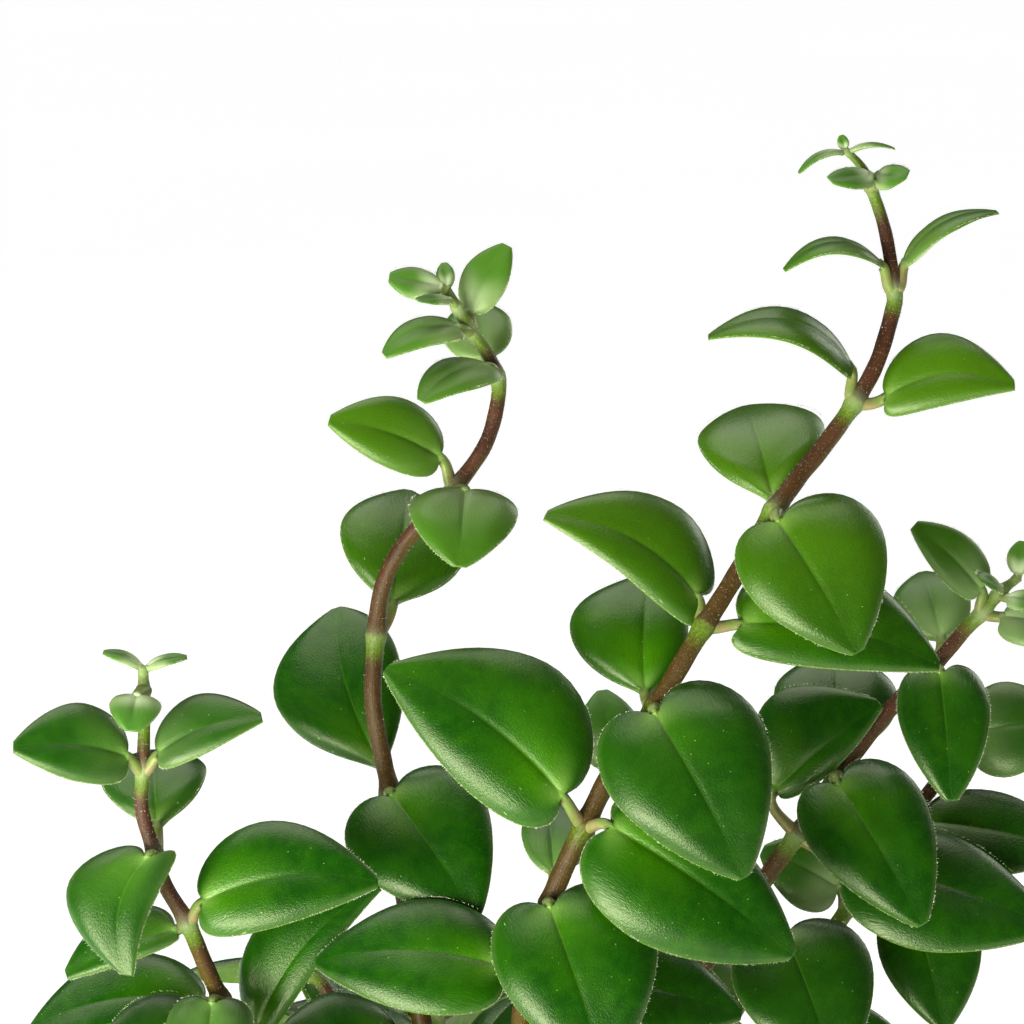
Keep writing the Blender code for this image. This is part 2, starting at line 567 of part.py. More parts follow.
def add_leaf(bm, blade, root, outward, outline):
    """One closed body: a petiole from its root to the blade, and the blade."""
    start = blade.midrib(0)
    heading = (blade.midrib(0.05) - start).normalized()
    bend = PETIOLE_BEND * (start - root).length
    path = (root, root + outward * bend, start - heading * bend, start)
    sections = []
    for t in (0.0, 0.5):
        place = bezier(*path, t)
        forward = (bezier(*path, t + 0.1) - place).normalized()
        side = (blade.side - forward * blade.side.dot(forward)).normalized() * blade.stalk
        rise = side.cross(forward)
        sections.append((place + side, place + rise, place - side, place - rise))
    thick = min(BLADE_HALF_THICKNESS, blade.stalk)
    sections.append((blade.edge(0, 0, 1), start + blade.up * thick,
                     blade.edge(0, 0, -1), start - blade.up * thick))
    for along, out, mid in outline:
        place = blade.midrib(mid)
        thin = blade.up * (thick * (1 - BLADE_THINNING * mid))
        sections.append((blade.edge(along, out, 1), place + thin, blade.edge(along, out, -1), place - thin))
    rings = [[bm.verts.new(place) for place in section] for section in sections]
    tip = bm.verts.new(blade.midrib(1))
    for near, far in zip(rings, rings[1:]):
        for rim, mid in ((0, 1), (2, 1), (2, 3), (0, 3)):
            bm.faces.new((near[rim], near[mid], far[mid]))
            bm.faces.new((near[rim], far[mid], far[rim]))
    last = rings[-1]
    for k in range(4):
        bm.faces.new((last[k], last[(k + 1) % 4], tip))
    bm.faces.new(rings[0])


def view_blade(leaf, lean):
    face = VIEW_RIGHT * leaf.face[0] + VIEW_UP * leaf.face[1] - VIEW_BACK * leaf.face[2]
    return Blade(
        in_view(*leaf.base, lean), in_view(*leaf.tip, lean), face, leaf.left * MM, leaf.right * MM,
        leaf.rise * MM, leaf.sway * MM, leaf.heart,
    )


def away_from(axis, joint, base):
    """The direction square to the stem's axis in which a leaf's base lies from its joint."""
    outward = base - joint
    return (outward - axis * outward.dot(axis)).normalized()


def stem_joints(shoot):
    """The shoot's stem points from the tip down to its foot in the soil, with radii."""
    points = [in_view(*spot[:3], shoot.lean) for spot in shoot.stem]
    radii = [spot[3] * MM for spot in shoot.stem]
    foot = Vector((shoot.foot[0] * MM, shoot.foot[1] * MM, SOIL_TOP))
    return points, radii, foot


def planted(line, foot):
    """The line carried on straight down into its planting hole."""
    radius = line[-1][1]
    return [*line, (foot - Vector((0, 0, PLANTING_DEPTH)), radius)]


def make_main_shoot(shoot):
    """The stem with its tip leaves as one body, and each larger leaf as its own."""
    points, radii, foot = stem_joints(shoot)
    knee = foot + Vector((0, 0, STEM_KNEE))
    line = smooth_curve([*points, knee, foot], [*radii, radii[-1], radii[-1]], STEM_STEP)
    stem = bmesh.new()
    add_tube(stem, planted(line, foot), STEM_SIDES)
    name = shoot.name + "_stem" if shoot.leaves else shoot.name
    stem_object = make_object(name, stem, STEM_BROWN, smooth_angle=60)
    for leaf in shoot.grown_leaves:
        blade = view_blade(leaf, shoot.lean)
        root = points[leaf.joint].lerp([*points, knee][leaf.joint + 1], 0.1)
        grow(stem_object, blade, root, (blade.base - root).normalized(), leaf_outline(leaf.heart))
    for number, leaf in enumerate(shoot.leaves, start=1):
        blade = view_blade(leaf, shoot.lean)
        joint = leaf.joint
        axis = (points[joint + 1] - points[joint - 1]).normalized()
        outward = away_from(axis, points[joint], blade.base)
        root = points[joint] + outward * (radii[joint] + PETIOLE_GAP)
        bm = bmesh.new()
        add_leaf(bm, blade, root, outward, leaf_outline(leaf.heart))
        make_object(f"{shoot.name}_leaf_{number}", bm, LEAF_GREEN, smooth_angle=60)
    return (shoot.foot[0] * MM, shoot.foot[1] * MM), radii[-1]


def branch_point(branch, foot_radius, foot_heading, t):
    """A point along a branch's arch, t from 0 at the soil to 1 at the tip."""
    shoulder = ARCH_SHOULDER * branch.reach
    crown = ARCH_CROWN * branch.height
    out = bezier(foot_radius, foot_radius + ARCH_START, shoulder, branch.reach, t) * MM
    up = bezier(0, crown, crown, branch.end, t) * MM
    spread = (branch.heading - foot_heading) * min(1, ARCH_TURN * t)
    angle = math.radians(foot_heading + spread + branch.drift * math.sin(math.pi * t))
    return Vector((out * math.cos(angle), out * math.sin(angle), SOIL_TOP + up))


def grow_branch_leaves(shoot, branch, place_at):
    """Pairs of leaves along a branch, shingled and swept forward, smaller towards its tip."""
    outline = leaf_outline(SIDE_LEAF_HEART, 2, 3)
    for pair in range(branch.pairs):
        share = pair / (branch.pairs - 1)
        t = SIDE_FIRST_PAIR + (SIDE_LAST_PAIR - SIDE_FIRST_PAIR) * share
        joint = place_at(t)
        forward = (place_at(t + 0.03) - place_at(t - 0.03)).normalized()
        length = branch.leaf * MM * (1 - (1 - SIDE_TIP_SHRINK) * share ** 2)
        sweep = math.radians(SIDE_LEAF_SWEEP[pair % 2])
        across = forward.cross(Vector((0, 0, 1))).normalized()
        above = across.cross(forward)
        face = above * math.cos(SIDE_LEAF_SHINGLE) + forward * math.sin(SIDE_LEAF_SHINGLE)
        for hand in (-1, 1):
            along = forward * math.cos(sweep) + across * (hand * math.sin(sweep)) + above * SIDE_LEAF_LIFT
            along.normalize()
            base = joint + along * (SIDE_LEAF_STALK * length + SIDE_STEM_RADIUS)
            tip = base + along * length - Vector((0, 0, SIDE_LEAF_DROOP * length))
            half = SIDE_LEAF_HALF * length
            blade = Blade(base, tip, face, half, half, SIDE_LEAF_RISE * length, 0, SIDE_LEAF_HEART)
            grow(shoot, blade, joint, along, outline)


def make_side_shoot(name, heading, foot_radius, branches):
    """A low arching shoot of one or two branches, stems and leaves grown as one body."""
    shoot = None
    for branch in branches:
        def place_at(t, branch=branch):
            return branch_point(branch, foot_radius, heading, t)

        shares = [i / SIDE_STEM_STEPS for i in range(SIDE_STEM_STEPS, -1, -1)]
        line = [(place_at(t), SIDE_STEM_RADIUS * (1 - SIDE_STEM_TAPER * t)) for t in shares]
        stem = bmesh.new()
        add_tube(stem, planted(line, place_at(0)), STEM_SIDES)
        if shoot:
            combine(shoot, helper_object(stem), "UNION", "MANIFOLD")
        else:
            shoot = make_object(name, stem, STEM_BROWN, smooth_angle=60)
        grow_branch_leaves(shoot, branch, place_at)
    return branch_point(branches[0], foot_radius, heading, 0).xy, SIDE_STEM_RADIUS


def build():
    clear_scene()
    feet = [make_main_shoot(shoot) for shoot in (*MAIN_SHOOTS, *GROWN_SHOOTS)]
    feet += [make_side_shoot(*side_shoot) for side_shoot in SIDE_SHOOTS]
    make_pot()
    make_soil(feet)


build()
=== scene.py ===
"""Looks of the potted lipstick plant: fleshy paired leaves, stems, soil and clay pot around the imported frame.

Metres, +Z up, the pot's underside centred on the origin, the plant's front towards -Y.
"""

import math
import random
from collections import namedtuple

import bmesh
import bpy
import numpy as np
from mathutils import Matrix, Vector, noise


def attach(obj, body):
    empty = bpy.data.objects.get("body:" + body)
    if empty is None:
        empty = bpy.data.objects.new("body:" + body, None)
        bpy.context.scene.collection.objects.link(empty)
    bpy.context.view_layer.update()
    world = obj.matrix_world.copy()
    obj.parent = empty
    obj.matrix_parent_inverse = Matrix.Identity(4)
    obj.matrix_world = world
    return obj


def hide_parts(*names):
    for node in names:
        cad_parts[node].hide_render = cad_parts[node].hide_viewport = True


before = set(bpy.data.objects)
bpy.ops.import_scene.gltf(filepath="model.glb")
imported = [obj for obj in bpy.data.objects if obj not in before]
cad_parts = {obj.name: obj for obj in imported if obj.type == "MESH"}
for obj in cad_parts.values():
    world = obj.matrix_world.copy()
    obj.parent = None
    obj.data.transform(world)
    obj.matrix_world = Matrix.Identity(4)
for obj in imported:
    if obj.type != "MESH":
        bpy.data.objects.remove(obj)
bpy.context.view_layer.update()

MM = 0.001

# Seeds of the random draws, and what is added for each shoot, leaf, branch and kind of thing
SEED = 7
SHOOT_SEEDS = 13
GROWN_LEAF_SEEDS = 100
BRANCH_SEEDS = 30
BRANCH_LEAF_SEEDS = 300
BUD_SEEDS = 325
STEM_HAIR_SEEDS = 50

# Pot
POT_HEIGHT = 126 * MM
FOOT_RADIUS = 44 * MM
BODY_TOP_RADIUS = 58 * MM
RIM_RADIUS = 65 * MM
RIM_BAND = 27 * MM
WALL = 5.5 * MM
FLOOR = 7 * MM
DRAIN_RADIUS = 4.5 * MM
DRAIN_OFFSET = 20 * MM
FIRST_DRAIN = math.radians(30)
DRAINS = 3
BAND_FOOT = POT_HEIGHT - RIM_BAND
FOOT_ROUNDING = 1.6 * MM
BAND_ROUNDING = 1.5 * MM
RIM_ROUNDING = 2 * MM
LIP_ROUNDING = 1.4 * MM
BAND_STEP = 0.5 * MM
BAND_TUCK = 0.1 * MM
LIP_SHELF = 1.2 * MM
# Points of the inside from its lip down, each as how far in from the lip and its height
INNER_FALL = ((2 * MM, POT_HEIGHT - 8 * MM), (4 * MM, POT_HEIGHT - 17 * MM))
INNER_SHOULDER = BAND_FOOT - 2 * MM
INNER_FLARE = 0.2
FLOOR_FILLET = 2 * MM
FLOOR_ROUNDING = 3 * MM
FLAT_RADIUS = 18 * MM
POT_SIDES = 144
DRAIN_SIDES = 32
ARC_STEPS = 5
WALL_STEPS = 12
BAND_STEPS = 5
CRISP_TURN = math.radians(25)

# Soil
SOIL_TOP = 113 * MM
SOIL_GAP = 0.3 * MM
SOIL_RINGS = 56
SOIL_SIDES = 144
SOIL_ROUGH = 1.6 * MM
SOIL_LUMPS_PER_METRE = 130
SOIL_LUMP_OCTAVES = 4
SOIL_LUMP_HEIGHT = 0.6
SOIL_SWELLS_PER_METRE = 45
SOIL_SWELL_HEIGHT = 0.7
SOIL_EDGE_DROP = 1.5 * MM
SOIL_EDGE_SHARPNESS = 12
ROOT_BALL_HEIGHTS = (SOIL_TOP - 6 * MM, BAND_FOOT, 60 * MM, FLOOR + FLOOR_ROUNDING, FLOOR + SOIL_GAP)
ROOT_BALL_ROUNDING = 2.5 * MM
PLANTING_DEPTH = 12 * MM
CRUMBS = 420
PALE_CRUMBS = 0.16
PALE_CRUMB_MM = (0.5, 1.1)
BARK_CRUMB_MM = (0.6, 1.9)
CRUMB_EDGE_GAP = 2.5 * MM
CRUMB_LIFT = 0.15
# Shares of a crumb's size: a grain's three sides, a bark bit's width and thickness, and its knobs
GRAIN_SIDES = (0.6, 1)
BARK_WIDTH = (0.35, 0.7)
BARK_THICKNESS = (0.25, 0.5)
CRUMB_KNOBS = (0.75, 1.2)
CRUMB_TURN = 6.3
CRUMB_TILT = 0.5

# Stems and petioles
STEM_SIDES = 16
STEM_STEP = 1.2 * MM
STEM_KNEE = 4 * MM
NODE_SWELL = 0.28
NODE_REACH = 1.7 * MM
# Distances below a joint over which its green collar starts and fades
COLLAR_STARTS = (-0.9 * MM, 0.5 * MM)
COLLAR_FADES = (0.8 * MM, 8 * MM)
# Distances from a stem's tip over which its green end, its youth and its green joints fade
GREEN_TIP = (9 * MM, 20 * MM)
STEM_YOUTH = (25 * MM, 125 * MM)
OLD_JOINTS = (60 * MM, 150 * MM)
OLD_JOINT_FADING = 0.4
# Shares of a stem's radius: three low ridges that wind about it, and ripples along it
RIDGES = 0.03
RIDGE_WINDING = 260
RIPPLES = 0.02
RIPPLE_SPACING = 900
DOWNY_REACH = 1.6 * MM
PETIOLE_RADIUS = 1.15 * MM
PETIOLE_BEND = 0.4
PETIOLE_FLARE = 0.45
PETIOLE_FLATNESS = 0.85
PETIOLE_RINGS = 9
PETIOLE_SINK = 0.15
PETIOLE_TINT_SEED = 3
GROWN_ROOT_BELOW = 0.1
STALK_SHARE = 0.16
LOOK_AHEAD = 0.05
NO_MARGIN = 9

# Blades
BLADE_HALF_THICKNESS = 0.55 * MM
BLADE_THINNING = 0.6
FOLD = -0.08
DOME = 0.085
CURL = 0.09
GROOVE_DEPTH = 0.2 * MM
GROOVE_WIDTH = 0.65 * MM
KEEL_DEPTH = 0.45 * MM
KEEL_WIDTH = 0.9 * MM
WAVE = 0.018
WAVE_TURNS = (1.2, 2.2)
MARGIN_ROUNDNESS = 5
STALK_FIT = 0.95
STALK_FADE = 0.05
TIP_DOME = 0.8
# Shares along a blade over which its dome grows, its valley at the midrib fills and its groove fades
DOME_GROWS = (0, 0.12)
VALLEY_FILLS = (0.1, 0.85)
GROOVE_STARTS = (0, 0.1)
GROOVE_FADES = (0.5, 1)
LEAF_YOUTH = (8 * MM, 27 * MM)
RINGS_TO_WIDEST = 12
RINGS_TO_TIP = 19
TIP_CROWDING = 1.7
ACROSS = (0, 0.02, 0.045, 0.08, 0.13, 0.2, 0.29, 0.4, 0.52, 0.64, 0.75, 0.84, 0.91, 0.96, 0.99, 1)

# Hairs
HAIR_LENGTH = 0.6 * MM
HAIR_RADIUS = 0.04 * MM
HAIR_CORNERS = 3
MARGIN_HAIR_STEP = 0.3 * MM
MARGIN_OVER_LENGTH = 1.1
FEWEST_MARGIN_HAIRS = 6
MARGIN_HAIR_SPAN = (0.03, 0.99)
MARGIN_HAIR_LEAN = (0.1, 0.9)
MARGIN_HAIR_SCATTER = 0.35
MARGIN_HAIR_SINK = 0.06 * MM
MARGIN_HAIR_LENGTHS = (0.5, 1.5)
OLD_MARGIN_HAIRS = 0.7
YOUNG_MARGIN_EXTRA = 0.5
STEM_HAIR_AREA = 1.3 * MM * MM
STEM_HAIR_SCATTER = 0.45
STEM_HAIR_SINK = 0.05 * MM
STEM_HAIR_LENGTHS = (0.4, 1.1)
STEM_HAIR_SHORTNESS = 0.8
OLD_STEM_HAIRS = 0.15

# Half a leaf's outline as the handles of curves, in shares of its length along the midrib and of
# its half width out from it: from the notch to the widest place, then on to the tip
HEART_ALONG = (0, -0.15, -0.13, 0.20)
TAPERED_ALONG = (0, 0.05, 0.14, 0.42)
HEART_OUT = (0, 0.14, 0.86, 0.97)
TAPERED_OUT = (0, 0.34, 0.86, 0.97)
SHOULDER_REACH = 0.27
TIP_REACH = 0.85
TIP_OUT = (0.97, 1.07, 0.47, 0)
YOUNG_BLUNTNESS = 0.3
TAPERED_BLUNTNESS = 1.5
WIDEST_MIDRIB = 0.15
WIDEST_SHARE = 0.42

# Front view that the main shoots are laid out in: a point of it is (column, row, back),
# with back in mm behind the plane through the plant's middle
VIEW_CENTRE = np.array((0, 0, 280 * MM))
VIEW_TILT = math.radians(10)
VIEW_DISTANCE = 1200 * MM
VIEW_HALF = 512
VIEW_STEP = 0.2 * MM
LEAN_STARTS_ROW = 1250
LEAN_FULL_ROW = 650
VIEW_RIGHT = np.array((1, 0, 0))
VIEW_UP = np.array((0, math.sin(VIEW_TILT), math.cos(VIEW_TILT)))
VIEW_BACK = np.array((0, math.cos(VIEW_TILT), -math.sin(VIEW_TILT)))
SKY = np.array((0.0, 0.0, 1.0))


# A leaf: its stem joint, base and tip in the front view, half widths in mm to its left and
# right seen from base to tip, the way its upper face looks (right, up, out of the view), in
# mm how far its middle rises over the chord and sways to its right, and its base's shape,
# from 0 for a tapered base to 1 for a heart
Leaf = namedtuple("Leaf", "joint base tip left right face rise sway heart")
# A main shoot: how far its top leans back in mm, its stem points (column, row, back, radius
# in mm) from the tip down, its foot on the soil in mm, its leaves, and the leaves that are one
# with the stem
Shoot = namedtuple("Shoot", "name lean stem foot leaves grown_leaves")
# A branch of a low side shoot: heading in degrees, height, reach and end height over the soil
# in mm, sideways drift in degrees, leaf pairs and leaf length in mm
Branch = namedtuple("Branch", "heading height reach end drift pairs leaf")

LEFT_SHOOT = Shoot(
    "left_shoot",
    -18,
    (
        (143, 668, -10, 0.8), (144, 690, -10, 1.1), (144, 725, -11, 1.2), (143, 770, -12, 1.3),
        (142, 810, -12, 1.4), (155, 855, -12, 1.5), (165, 885, -11, 1.5), (187, 922, -10, 1.6),
        (205, 965, -7, 1.7), (222, 1000, -4, 1.7), (244, 1040, -1, 1.8), (300, 1130, 9, 1.9),
        (370, 1235, 24, 2.0),
    ),
    (-20, 6),
    (
        Leaf(1, (137, 697, -15.5), (131, 731, -22), 5.2, 5.2, (0, 0.4, 1), 1, 0, 1),
        Leaf(3, (127, 757, -14), (13, 747, -20), 7.5, 9.5, (-0.2, 0.4, 1), 2, 1, 0.5),
        Leaf(3, (158, 755, -13), (262, 717, -15), 9.5, 5.5, (0.2, 0.8, 1), 2, -1, 0.5),
        Leaf(5, (157, 825, -6), (155, 750, 16), 11, 10.5, (0, 0.2, 1), 4, 0, -0.3),
        Leaf(5, (148, 857, -17), (128, 976, -25), 6.5, 12.5, (-0.2, 0.3, 1), 2, 3.5, 1),
        Leaf(7, (202, 903, -13), (378, 882, -16), 13, 10, (0.1, 0.4, 1), 3, -2.5, 0.6),
        Leaf(7, (176, 930, -6), (66, 975, -6), 3.5, 9, (-0.2, 0.5, 1), 2, 0, 0.4),
        Leaf(10, (258, 1030, 3), (378, 886, 6), 11, 5, (0, 0.5, 1), 3, -3, 0.3),
        Leaf(9, (205, 1002, 2), (30, 1030, -2), 11, 13, (-0.1, 0.8, 1), 3, 2, 0.5),
        Leaf(10, (222, 1036, -8), (105, 1038, -18), 10, 10, (-0.2, 0.8, 1), 2, 1, 0.6),
        Leaf(9, (212, 1004, -12), (203, 1110, -24), 9, 9, (0, 0.5, 1), 2, 0, 1),
    ),
    (
        Leaf(0, (140, 666, -10), (103, 652, -10), 2.2, 2.2, (0, 1, 0.5), 0.8, 0, 0),
        Leaf(0, (147, 668, -10), (187, 657, -10), 2.2, 2.2, (0, 1, 0.5), 0.8, 0, 0),
        Leaf(11, (282, 1112, 9), (190, 1080, 4), 8.5, 8.5, (-0.2, 0.8, 1), 2, 0, 0.6),
        Leaf(11, (318, 1120, 14), (410, 1100, 26), 10, 10, (0.2, 1, 0.8), 2, 0, 0.5),
    ),
)

MIDDLE_SHOOT = Shoot(
    "middle_shoot",
    12,
    (
        (447, 290, -15, 0.7), (457, 308, -15, 1.1), (470, 330, -14, 1.2), (485, 350, -13, 1.3),
        (497, 375, -12, 1.4), (498, 400, -12, 1.5), (485, 445, -12, 1.5), (455, 488, -12, 1.6),
        (425, 520, -11, 1.6), (400, 550, -9, 1.7), (382, 590, -7, 1.7), (376, 635, -5, 1.8),
        (373, 700, -3, 1.8), (383, 760, 0, 1.8), (390, 793, 0, 1.9), (402, 880, 4, 1.9),
        (414, 960, 8, 2.0), (424, 1040, 12, 2.0), (440, 1140, 18, 2.1), (456, 1240, 26, 2.1),
    ),
    (-8, 9),
    (
        Leaf(2, (470, 311, -12), (507, 245, -11), 5, 5.2, (-0.3, 0.3, 1), 1, -0.6, 0.2),
        Leaf(4, (487, 357, -8), (468, 302, 6), 7.5, 7, (0, 0.2, 1), 2, 0, 0.2),
        Leaf(2, (458, 328, -17), (384, 355, -22), 5, 5, (-0.2, 1.1, 1), 2, 1, 0.5),
        Leaf(4, (489, 367, -16), (421, 401, -26), 6.5, 6.5, (-0.2, 1.2, 1), 2, 1, 0.6),
        Leaf(7, (440, 458, -13), (329, 420, -17), 7, 8.5, (-0.2, 0.4, 1), 2, 1, 0.4),
        Leaf(7, (465, 492, -18), (460, 567, -30), 11, 11, (0, 0.2, 1), 2, 0, 1),
        Leaf(11, (393, 602, 0), (408, 490, 18), 13, 14, (0.1, 0.2, 1), 4, 0, -0.2),
        Leaf(14, (381, 766, 7), (336, 608, 22), 15.5, 12, (-0.1, 0.2, 1), 4, -2, -0.4),
        Leaf(14, (392, 795, -6), (477, 917, -14), 15.5, 14.5, (0, 0.3, 1), 3, 0, 1),
        Leaf(17, (400, 1044, 5), (275, 1040, -4), 11, 11, (-0.1, 0.8, 1), 3, 1, 0.6),
    ),
    (
        Leaf(0, (441, 288, -15), (389, 277, -16), 4, 3.6, (0, 0.6, 1), 0.6, 0, 0),
        Leaf(0, (447, 287, -15), (444, 263, -12), 1.9, 1.9, (0, 0.2, 1), 0.3, 0, 0),
        Leaf(1, (450, 300, -17), (417, 300, -22), 2.2, 2.2, (0, 1, 0.6), 0.3, 0, 0),
        Leaf(18, (424, 1138, 14), (336, 1172, 0), 11, 11, (-0.1, 0.8, 1), 2, 0, 0.6),
        Leaf(18, (450, 1128, 26), (500, 1100, 52), 11, 11, (0.2, 1, 0.4), 2, 0, 0.5),
    ),
)

TALL_SHOOT = Shoot(
    "tall_shoot",
    -6,
    (
        (845, 150, -5, 0.6), (860, 165, -5, 0.9), (870, 185, -5, 1.1), (885, 230, -5, 1.3),
        (894, 290, -6, 1.4), (893, 310, -6, 1.6), (878, 360, -8, 1.6), (855, 402, -10, 1.7),
        (825, 445, -11, 1.8), (800, 475, -12, 1.8), (775, 510, -14, 1.9), (745, 560, -15, 1.9),
        (705, 625, -17, 1.9), (690, 650, -18, 1.9), (655, 707, -19, 1.9), (610, 775, -20, 2.0),
        (585, 825, -20, 2.0), (568, 860, -19, 2.0), (550, 903, -18, 2.0), (535, 965, -15, 2.1),
        (522, 1015, -12, 2.1), (515, 1100, -2, 2.2), (512, 1200, 10, 2.3),
    ),
    (2, -8),
    (
        Leaf(4, (881, 264, -7), (784, 270, -10), 6, 6, (0, 1, 0.3), 5, 0, 0.3),
        Leaf(4, (905, 263, -5), (998, 212, -5), 5.5, 5.5, (-0.4, 1, 0.35), 3.5, 0, 0.2),
        Leaf(7, (850, 366, -10), (708, 337, -13), 8.5, 8.5, (0.1, 1, 0.5), 7, 0, 0.5),
        Leaf(7, (885, 398, -10), (1015, 385, -14), 10, 6.5, (0.1, 0.4, 1), 2, -3, 0.5),
        Leaf(10, (773, 498, -8), (746, 406, 16), 12, 14, (0, 0.2, 1), 4.5, 0, -0.4),
        Leaf(10, (778, 521, -19), (858, 653, -26), 17.5, 13, (0, 0.3, 1), 3, 0, 0.85),
        Leaf(12, (697, 597, -15), (545, 515, -18), 8, 13.5, (0, 0.6, 1), 3, 3, 0.9),
        Leaf(12, (740, 624, -16), (940, 666, -10), 16, 8.5, (0.1, 0.4, 1), 3, -2, 0.6),
        Leaf(14, (645, 692, -12), (652, 572, 6), 15, 9, (0, 0.2, 1), 4, -1, 0),
        Leaf(14, (655, 713, -24), (745, 878, -33), 18, 16, (0, 0.3, 1), 4, 0, 1),
        Leaf(16, (563, 797, -25), (386, 668, -19), 13, 18, (0, 0.3, 1), 3, 2.5, 0.6),
        Leaf(16, (610, 826, -26), (794, 955, -25), 13, 16.5, (0.1, 0.3, 1), 4, 0, 0.7),
        Leaf(18, (554, 872, -12), (548, 800, 6), 6, 9, (0, 0.2, 1), 2, 0, 0),
        Leaf(18, (550, 907, -25), (607, 1075, -36), 18.5, 14.5, (0, 0.3, 1), 4, 0, 1),
        Leaf(19, (500, 966, -14), (315, 962, -8), 13, 13, (-0.1, 0.6, 1), 4, 1, 0.6),
        Leaf(19, (562, 980, -10), (742, 1015, -10), 13, 12, (0.1, 0.6, 1), 4, 0, 0.6),
    ),
    (
        Leaf(0, (843, 152, -5), (799, 173, -8), 1.6, 1.6, (0, 1, 0.3), 1.6, 0, 0),
        Leaf(0, (845, 149, -5), (841, 135, -5), 1.2, 1.2, (0, 0.2, 1), 0.2, 0, 0),
        Leaf(0, (849, 151, -5), (895, 149, -5), 1.4, 1.4, (0, 1, 0.3), 1.2, 0, 0),
        Leaf(2, (870, 176, -7), (830, 180, -14), 3.4, 3.2, (-0.2, 0.6, 1), 0.9, -0.6, 0.2),
        Leaf(2, (878, 176, -5), (908, 174, -9), 3, 3.8, (0.2, 0.6, 1), 0.9, 0.6, 0.2),
        Leaf(21, (497, 1104, -9), (395, 1120, -24), 12, 12, (-0.1, 0.7, 1), 3, 0, 0.7),
        Leaf(21, (532, 1102, -7), (640, 1130, -22), 12, 12, (0.1, 0.7, 1), 3, 0, 0.7),
    ),
)

RIGHT_SHOOT = Shoot(
    "right_shoot",
    16,
    (
        (1018, 578, -6, 0.7), (1000, 592, -6, 1.2), (983, 612, -5, 1.4), (965, 630, -4, 1.5),
        (930, 670, -3, 1.6), (885, 715, -1, 1.7), (838, 775, 2, 1.8), (797, 835, 6, 1.9),
        (750, 900, 10, 1.9), (700, 970, 14, 2.0), (650, 1050, 18, 2.0), (600, 1150, 24, 2.1),
    ),
    (16, 9),
    (
        Leaf(2, (981, 590, -7), (914, 525, -10), 4.8, 6, (0, 0.3, 1), 1.5, 0.3, 0.5),
        Leaf(2, (1003, 617, -6), (1080, 640, -10), 6, 6, (0.1, 0.6, 1), 2, 0, 0.5),
        Leaf(4, (941, 638, 4), (922, 572, 16), 8.5, 8, (0, 0.2, 1), 3, 0, 0.2),
        Leaf(4, (940, 673, -9), (952, 801, -15), 9.5, 9.5, (0, 0.3, 1), 2, 0, 0.9),
        Leaf(6, (836, 752, 9), (835, 650, 22), 13, 13, (0, 0.2, 1), 4, 0, 0),
        Leaf(6, (838, 784, -7), (923, 925, -14), 14, 12, (0, 0.3, 1), 3, 0, 1),
        Leaf(7, (775, 790, 2), (880, 703, -3), 16, 5, (0, 0.4, 1), 2, 0, 0.4),
        Leaf(7, (850, 862, 4), (1052, 928, 2), 13, 15, (0.1, 0.6, 1), 3, 0, 0.5),
        Leaf(8, (785, 934, 2), (838, 1075, -8), 15, 14, (0, 0.4, 1), 3, 0, 0.9),
    ),
    (
        Leaf(1, (1000, 588, -8), (979, 578, -14), 3, 3, (0, 0.9, 1), 0.6, 0, 0),
        Leaf(0, (1018, 574, -6), (1023, 541, -5), 2.8, 2.8, (-0.3, 0.2, 1), 0.6, 0, 0),
        Leaf(1, (1008, 598, -8), (1040, 604, -12), 3, 3, (0, 0.9, 1), 0.6, 0, 0),
        Leaf(10, (668, 1058, 15), (778, 1090, 4), 11, 11, (0.2, 0.7, 1), 3, 0, 0.6),
        Leaf(11, (618, 1152, 20), (722, 1185, 6), 11, 11, (0.2, 0.8, 1), 3, 0, 0.6),
    ),
)

BACK_RIGHT_SHOOT = Shoot(
    "back_right_shoot",
    16,
    (
        (1045, 700, 22, 0.9), (1000, 722, 22, 1.2), (955, 762, 22, 1.4), (925, 797, 22, 1.5),
        (885, 850, 22, 1.6), (850, 905, 23, 1.7), (810, 965, 24, 1.8), (750, 1050, 27, 1.9),
        (680, 1150, 31, 2.0),
    ),
    (26, 13),
    (),
    (
        Leaf(2, (968, 734, 18), (1068, 722, 15), 10.5, 10.5, (0.1, 0.4, 1), 2, 0, 0.5),
        Leaf(4, (925, 822, 19), (1075, 850, 14), 10, 10, (0.1, 0.5, 1), 2, 0, 0.5),
        Leaf(5, (912, 902, 16), (945, 1030, 10), 12, 9.5, (0, 0.3, 1), 2, 0, 0.6),
        Leaf(5, (838, 888, 20), (762, 850, 18), 8, 8, (0, 0.4, 1), 2, 0, 0.6),
        Leaf(7, (735, 1025, 34), (648, 978, 36), 12, 12, (0, 0.4, 1), 2, 0, 0.5),
        Leaf(7, (780, 1036, 24), (903, 1040, 25), 9.5, 9.5, (0, 0.5, 1), 2, 0, 0.5),
    ),
)

